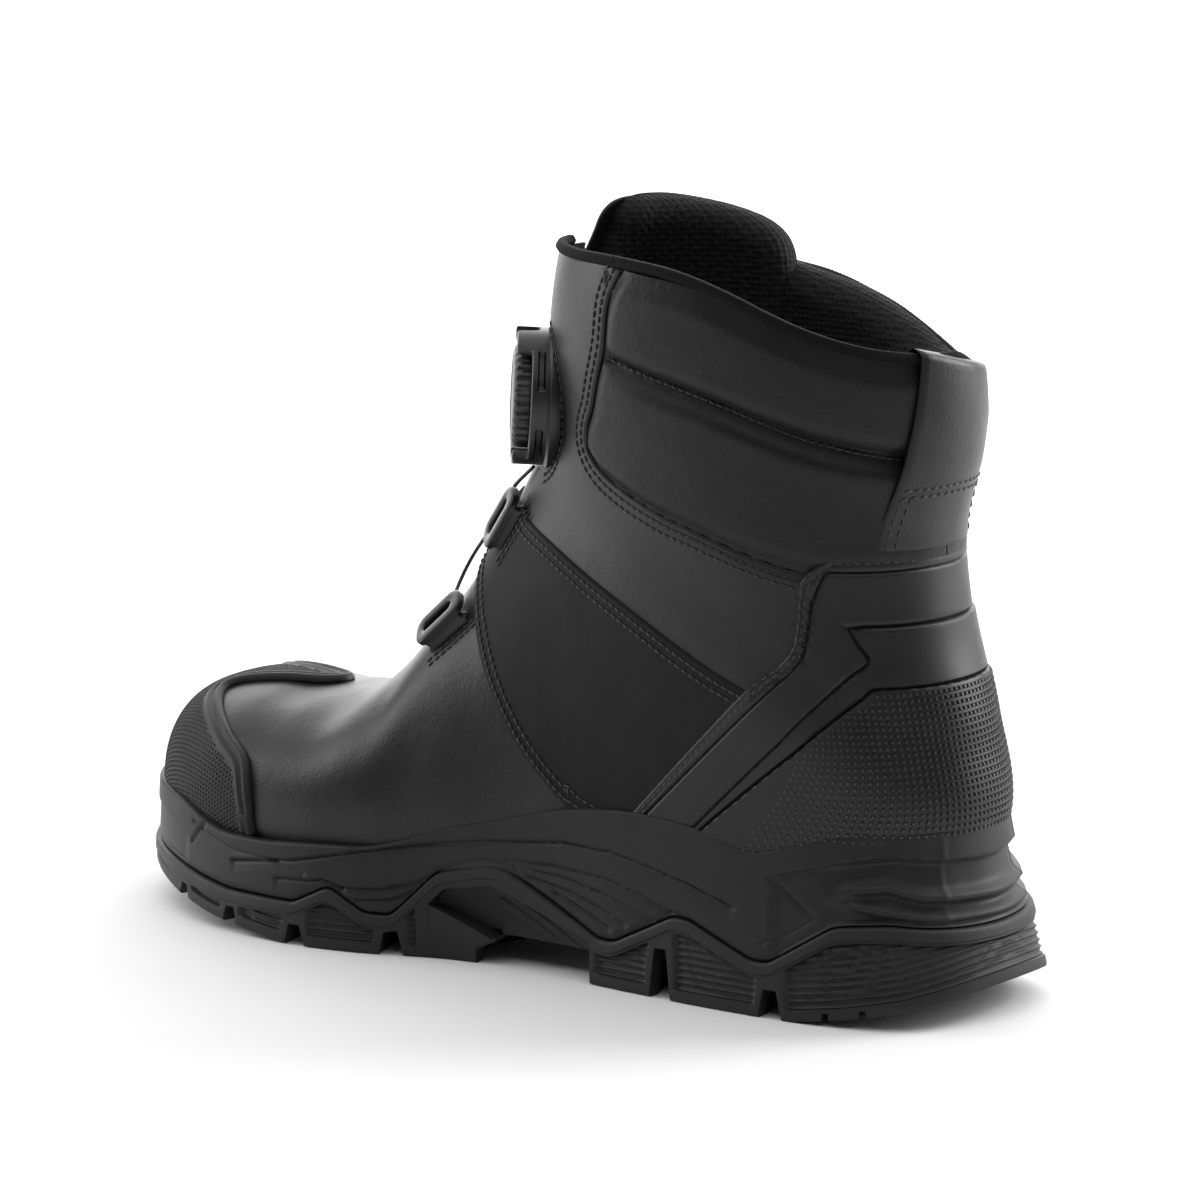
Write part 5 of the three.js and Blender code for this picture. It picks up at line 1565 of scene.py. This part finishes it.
# a wire guide: a slotted plate on a leg, with two stitch rows beside it
def guideMesh(name, s, deg, hand, node):
    a = np.radians([deg])
    origin = upper(np.array([s]), a)[0]
    z = upperFrame(np.array([s]), a)[2][0]
    x = upper(np.array([s + 0.01]), a)[0] - upper(np.array([s - 0.01]), a)[0]
    x -= z * x.dot(z)
    x /= np.linalg.norm(x)
    y = np.cross(z, x)
    outer, slot = roundedLoop(*guide["plate"]), roundedLoop(*guide["slot"])
    levels = [(outer, 3.0, 0.25), (outer, 3.3, 0.0), (outer, 4.9, 0.0), (outer, 5.3, 0.35),
              (outer, 5.4, 0.8), (slot, 5.4, -0.6), (slot, 5.2, -0.2),
              (slot, 4.8, 0.0), (slot, 3.4, 0.0), (slot, 3.0, -0.3)]
    rings = []
    for loop, height, shrink in levels:
        size = np.abs(loop).max(0)
        scaled = loop * (1 - shrink / size)
        bent = height - guide["bow"] * (scaled[:, 0] / 10) ** 2
        rings.append(origin + np.outer(scaled[:, 0], x) + np.outer(scaled[:, 1], y) + np.outer(bent, z))
    v = np.vstack(rings)
    n = len(outer)
    count = len(rings)
    faces = []
    for i in range(count):
        here, there = i * n, ((i + 1) % count) * n
        faces += [(here + k, here + (k + 1) % n, there + (k + 1) % n, there + k) for k in range(n)]
    # leg that fastens the plate down on the flap
    leg = roundedLoop(*guide["leg"], 4)
    offset = hand * (guide["plate"][1] / 2 - 1.7)
    base = len(v)
    legRings = [origin + np.outer(leg[:, 0] * k, x) + np.outer(leg[:, 1] * k + offset, y)
                + np.outer(np.full(len(leg), h), z)
                for k, h in ((1.12, -0.8), (1.12, 0.6), (1.0, 1.3), (1.0, 3.2))]
    v = np.vstack([v] + legRings)
    m = len(leg)
    for i in range(3):
        here, there = base + i * m, base + (i + 1) * m
        faces += [(here + k, here + (k + 1) % m, there + (k + 1) % m, there + k) for k in range(m)]
    faces.append(tuple(base + k for k in reversed(range(m))))
    faces.append(tuple(base + 3 * m + k for k in range(m)))
    obj = addMesh(name, toFrame(v), faces, plasticMat, nodes=[node])
    obj.data.set_sharp_from_angle(angle=math.radians(40))
    for shiftBy in guide["stitches"]:
        p = np.array([origin + x * u + y * (hand * shiftBy) for u in np.linspace(-9, 9, 8)])
        fixed = [trace([(q[0], q[2])], 1 if deg > 0 else -1)[0] for q in p]
        path = [(q[0], abs(q[1])) for q in fixed]
        stitchRow(path, 0, 1 if deg > 0 else -1, 1.35 if s > 11.4 else 0.2)
    return obj


for name, (s, deg, hand) in {"upper_left": (12.45, 21, -1), "lower_left": (10.55, 30, -1),
                             "top_right": (14.9, -46, 1),
                             "upper_right": (12.45, -27, 1), "lower_right": (10.55, -30, 1)}.items():
    guideMesh("wire_guide_plate_" + name, s, deg, hand, "wire_guide_" + name)

print("dial, guard and wire guides made")

# two stitch rows round the dial housing
for radius in (23.2, 25.4):
    ring = []
    for b in np.radians(np.arange(200, 341, 5)):
        q = dialOrigin + radius * (math.cos(b) * dialUp + math.sin(b) * dialAcross)
        ring.append(q - shift)
    near = [trace([(q[0], q[2])], 1)[0] for q in ring if q[1] > 12]
    stitchRow([(float(a), float(b)) for a, b in near], 0, 1, 0.35)

# stitches and moulded dots, placed by nodes: one shape on every point, turned to the surface and to the row
def stampTree():
    tree = bpy.data.node_groups.new("stampOnPoints", "GeometryNodeTree")
    face = tree.interface
    face.new_socket("Geometry", in_out="INPUT", socket_type="NodeSocketGeometry")
    face.new_socket("Shape", in_out="INPUT", socket_type="NodeSocketObject")
    face.new_socket("Finish", in_out="INPUT", socket_type="NodeSocketMaterial")
    face.new_socket("Size", in_out="INPUT", socket_type="NodeSocketFloat")
    face.new_socket("Jitter", in_out="INPUT", socket_type="NodeSocketFloat")
    face.new_socket("Seed", in_out="INPUT", socket_type="NodeSocketInt")
    face.new_socket("Geometry", in_out="OUTPUT", socket_type="NodeSocketGeometry")
    source = tree.nodes.new("NodeGroupInput")
    target = tree.nodes.new("NodeGroupOutput")
    faceDir = addNode(tree, "GeometryNodeInputNamedAttribute", data_type="FLOAT_VECTOR")
    faceDir.inputs["Name"].default_value = "faceDir"
    runDir = addNode(tree, "GeometryNodeInputNamedAttribute", data_type="FLOAT_VECTOR")
    runDir.inputs["Name"].default_value = "runDir"
    stand = addNode(tree, "FunctionNodeAlignRotationToVector", [(faceDir.outputs["Attribute"], "Vector")],
                    axis="Z")
    turn = addNode(tree, "FunctionNodeAlignRotationToVector",
                   [(stand.outputs["Rotation"], "Rotation"), (runDir.outputs["Attribute"], "Vector")],
                   axis="X", pivot_axis="Z")
    shape = addNode(tree, "GeometryNodeObjectInfo", [(source.outputs["Shape"], "Object")])
    least = addNode(tree, "ShaderNodeMath", [(source.outputs["Size"], 0), (source.outputs["Jitter"], 1)],
                    operation="SUBTRACT")
    most = addNode(tree, "ShaderNodeMath", [(source.outputs["Size"], 0), (source.outputs["Jitter"], 1)],
                   operation="ADD")
    vary = addNode(tree, "FunctionNodeRandomValue", [(source.outputs["Seed"], "Seed")], data_type="FLOAT")
    tree.links.new(least.outputs[0], vary.inputs[2])
    tree.links.new(most.outputs[0], vary.inputs[3])
    place = addNode(tree, "GeometryNodeInstanceOnPoints",
                    [(source.outputs["Geometry"], "Points"), (shape.outputs["Geometry"], "Instance"),
                     (turn.outputs["Rotation"], "Rotation"), (vary.outputs[1], "Scale")])
    real = addNode(tree, "GeometryNodeRealizeInstances", [(place.outputs["Instances"], "Geometry")])
    paint = addNode(tree, "GeometryNodeSetMaterial", [(real.outputs["Geometry"], "Geometry"),
                                                      (source.outputs["Finish"], "Material")])
    tree.links.new(paint.outputs["Geometry"], target.inputs["Geometry"])
    return tree


stamps = stampTree()


# one mesh with the shape stamped on every point
def stamped(name, points, normals, runs, shape, material, size=1.0, jitter=0.0, seed=3, nodes=(),
            slotName=None):
    mesh = bpy.data.meshes.new(name + "_points")
    mesh.from_pydata([tuple(p) for p in toFrame(points)], [], [])
    for key, values in (("faceDir", normals), ("runDir", runs)):
        mesh.attributes.new(key, "FLOAT_VECTOR",
                            "POINT").data.foreach_set("vector", np.asarray(values, np.float32).ravel())
    carrier = bpy.data.objects.new(name + "_carrier", mesh)
    scene.collection.objects.link(carrier)
    modifier = carrier.modifiers.new("stamp", "NODES")
    modifier.node_group = stamps
    named = {item.name: item.identifier for item in stamps.interface.items_tree if item.in_out == "INPUT"}
    modifier[named["Shape"]] = shape
    modifier[named["Finish"]] = material
    modifier[named["Size"]] = size
    modifier[named["Jitter"]] = jitter
    modifier[named["Seed"]] = seed
    graph = bpy.context.evaluated_depsgraph_get()
    made = bpy.data.meshes.new_from_object(carrier.evaluated_get(graph))
    made.name = name
    bpy.data.objects.remove(carrier)
    obj = bpy.data.objects.new(name, made)
    scene.collection.objects.link(obj)
    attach(obj, "boot")
    if nodes:
        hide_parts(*nodes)
    print("stamped", name, len(points), len(made.polygons))
    return obj


# a small mesh that the nodes repeat
def template(name, vertices, faces, smooth=True):
    mesh = bpy.data.meshes.new(name)
    mesh.from_pydata([tuple(v) for v in vertices], [], faces)
    if smooth:
        mesh.polygons.foreach_set("use_smooth", [True] * len(mesh.polygons))
    return bpy.data.objects.new(name, mesh)


# a stitch, rounded along and across, with its ends pulled down
def capsule(length, width, height, rings=7, around=8):
    v, f = [], []
    for i in range(1, rings):
        b = math.pi * i / rings
        for k in range(around):
            c = 2 * math.pi * k / around
            x = -math.cos(b) * length / 2
            bend = -0.55 * (2 * x / length) ** 4 * height
            v.append((x * 0.001, math.sin(b)**0.6 * math.cos(c) * width / 2 * 0.001,
                      (math.sin(b)**0.6 * math.sin(c) * height / 2 + bend) * 0.001))
    n = rings - 1
    v += [(-length / 2 * 0.001, 0, -0.6 * height * 0.001), (length / 2 * 0.001, 0, -0.6 * height * 0.001)]
    for i in range(n - 1):
        for k in range(around):
            a, b2 = i * around + k, i * around + (k + 1) % around
            f.append((a, b2, b2 + around, a + around))
    for k in range(around):
        f.append((n * around, (k + 1) % around, k))
        f.append((n * around + 1, (n - 1) * around + k, (n - 1) * around + (k + 1) % around))
    return v, [tuple(reversed(q)) for q in f]


# a dot with sloping sides
def frustum(width, top, height, sides=4):
    v = []
    for r, z in ((width / 2, -0.25), (width / 2 * 0.94, 0.0), (top / 2, height)):
        for k in range(sides):
            c = 2 * math.pi * (k + 0.5) / sides
            v.append((r * math.cos(c) * 1.41 * 0.001, r * math.sin(c) * 1.41 * 0.001, z * 0.001))
    f = [tuple(reversed(range(sides))), tuple(2 * sides + k for k in range(sides))]
    for i in range(2):
        for k in range(sides):
            f.append((i * sides + k, i * sides + (k + 1) % sides, (i + 1) * sides + (k + 1) % sides,
                      (i + 1) * sides + k))
    return v, f


# the length, width and height of a stitch, and how high the rows lie on each leather, in millimetres
stitching = {
    "stitch": (2.35, 0.78, 0.62),
    "quarter": 1.35,
    "ankle": 0.35,
    "collar": -1.6,
    "fromSeam": (2.2, 4.6),
    "fromCollar": (2.3, 4.9),
    "fromThroat": 2.4,
    "jitter": 0.05,
}
stitchShape = template("stitch_shape", *capsule(*stitching["stitch"]))
for side in (1, -1):
    for gap in stitching["fromSeam"]:
        stitchRow([(11.95, 100)] + seamA, -gap, side, stitching["quarter"])
    for gap in stitching["fromSeam"]:
        stitchRow(seamB[:-3], -gap, side, stitching["quarter"])
    for gap in stitching["fromCollar"]:
        stitchRow(seamD[:-2], -gap, side, stitching["ankle"])
    for reach, lift in (((11.6, 12.55, 5), stitching["quarter"]), ((13.2, 18.0, 12), stitching["ankle"])):
        edge = [(s, a * side) for s, a in throatEdge(*reach, side)]
        stitchRow(edge, stitching["fromThroat"], side, lift)
    for shiftBy in (0.0, 2.4):
        stitchRow(quilt, shiftBy, side, stitching["collar"])


# stitches across or along the pull tab
def tabRow(path, pitch=2.7):
    at = lambda q, lift=1.62: tabPoint(q[0] / pullTab["length"], q[1], lift)
    dense = smoothLine(path, 10)
    p = np.array([at(q) for q in dense])
    run = np.concatenate([[0], np.cumsum(np.linalg.norm(np.diff(p, axis=0), axis=1))])
    marks = np.linspace(0, run[-1], max(2, int(run[-1] / pitch)))
    row = np.column_stack([np.interp(marks, run, dense[:, k]) for k in range(2)])
    p = np.array([at(q) for q in row])
    n = p - np.array([at(q, 0.6) for q in row])
    n /= np.linalg.norm(n, axis=1, keepdims=True)
    t = np.gradient(p, axis=0)
    t /= np.linalg.norm(t, axis=1, keepdims=True)
    pits.append((p, n, t))


tabRow([(17.2, -0.86), (17.6, 0), (17.2, 0.86)])
tabRow([(19.6, -0.86), (20.0, 0), (19.6, 0.86)])
for edge in (-1, 1):
    tabRow([(2.0, 0.90 * edge), (9, 0.90 * edge), (16.5, 0.90 * edge)])
    tabRow([(2.0, 0.79 * edge), (9, 0.79 * edge), (16.5, 0.79 * edge)])
points = np.vstack([p for p, n, t in pits])
normals = np.vstack([n for p, n, t in pits])
runs = np.vstack([t for p, n, t in pits])
stamped("upper_stitching", points, normals, runs, stitchShape, threadMat, jitter=stitching["jitter"],
        slotName="binding_knit")


# dots in rows across the toe
def dotGrid(polygon, pitchS, pitchA, keepOut, height, stagger=False):
    poly = np.asarray(polygon, float)
    lo, hi = poly.min(0), poly.max(0)
    out = []
    s = lo[0]
    row = 0
    while s < hi[0]:
        a = np.arange(lo[1], hi[1], 0.05)
        p = upper(np.full(len(a), s), np.radians(a))
        run = np.concatenate([[0], np.cumsum(np.linalg.norm(np.diff(p, axis=0), axis=1))])
        mid = np.interp((lo[1] + hi[1]) / 2, a, run)
        marks = np.arange(-200, 200) * pitchA + (pitchA / 2 if stagger and row % 2 else 0) + mid
        marks = marks[(marks > 0) & (marks < run[-1])]
        aa = np.interp(marks, run, a)
        out.append(np.column_stack([np.full(len(aa), s), aa]))
        k = np.array([s, s + 0.01])
        ds = np.linalg.norm(np.diff(upper(k, np.radians(np.array([hi[1] * 0.5 + lo[1] * 0.5] * 2))),
                                    axis=0)) / 0.01
        s += pitchS / max(ds, 3)
        row += 1
    pts = np.vstack(out)
    pts = pts[inside(poly, pts)]
    p = onUpper(pts)
    good = np.ones(len(pts), bool)
    for near, least in keepOut:
        good &= near(p) > least
    pts = pts[good]
    s, a = pts[:, 0], np.radians(pts[:, 1])
    ds, da, n = upperFrame(s, a)
    return upperAt(s, a, height), n, da


# dots in level rows round the heel
def levelGrid(polygon, pitch, keepOut, height):
    a = np.arange(108, 252.01, 0.25)
    p = onUpper(np.array(levelLine(74, a)))
    run = np.concatenate([[0], np.cumsum(np.linalg.norm(np.diff(p, axis=0), axis=1))])
    marks = np.arange(-60, 61) * pitch + run[-1] / 2
    columns = np.interp(marks[(marks > 0) & (marks < run[-1])], run, a)
    pts = np.vstack([np.array(levelLine(z, columns)) for z in np.arange(44, 97, pitch)])
    pts = pts[inside(np.asarray(polygon, float), pts)]
    p = onUpper(pts)
    good = np.ones(len(pts), bool)
    for near, least in keepOut:
        good &= near(p) > least
    s, a = pts[good, 0], np.radians(pts[good, 1])
    fade = ease((np.minimum(pts[good, 1], 360 - pts[good, 1]) - 114)
                / 22)  # the relief dies away toward the instep
    ds, da, n = upperFrame(s, a)
    return upperAt(s, a, height - 0.45 * (1 - fade)), n, da


# width at the foot, width at the top and height of each dot, and the pitch of the grid
dots = {"cup": (1.3, 0.7, 0.7), "cupPitch": 1.85, "toe": (1.15, 0.5, 0.35), "toePitch": 1.35}
cupDots = levelGrid(cupChart, dots["cupPitch"], [(secondNear, 1.5)], 2.8)
dotShape = template("dot_shape", *frustum(*dots["cup"]), smooth=False)
# the dots carry the paler plastic, a painted highlight
stamped("heel_cup_dots", *cupDots, dotShape, dotHighlightMat, slotName="heel_tpu")
toePoly = np.array(rearLine + [(s, -a) for s, a in reversed(bumperFoot)] + bumperFoot)
toeDots = dotGrid(toePoly, dots["toePitch"], dots["toePitch"], [(rearNear, 6.4)], 1.15, stagger=True)
fineShape = template("grid_shape", *frustum(*dots["toe"]), smooth=False)
stamped("toe_bumper_grid", *toeDots, fineShape, rubberMat, slotName="bumper_rubber")

# floor, and the looks of the nodes that the CAD meshes keep
floor = bpy.data.meshes.new("floor")
floor.from_pydata([(-6, -6, 0), (6, -6, 0), (6, 6, 0), (-6, 6, 0)], [], [(0, 1, 2, 3)])
floor.materials.append(floorMat)
floorObj = bpy.data.objects.new("floor", floor)
scene.collection.objects.link(floorObj)
nodeLooks = {"steel_toe_cap": steelMat, "lace_wire": wireMat, "outsole": rubberMat, "midsole": foamMat,
             "insole_board": boardMat}
for name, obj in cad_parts.items():
    moulded = name.startswith(("dial", "wire", "arch"))
    obj.data.materials.clear()
    obj.data.materials.append(nodeLooks.get(name, plasticMat if moulded else meshMat))
print("stitches, dots and floor made")
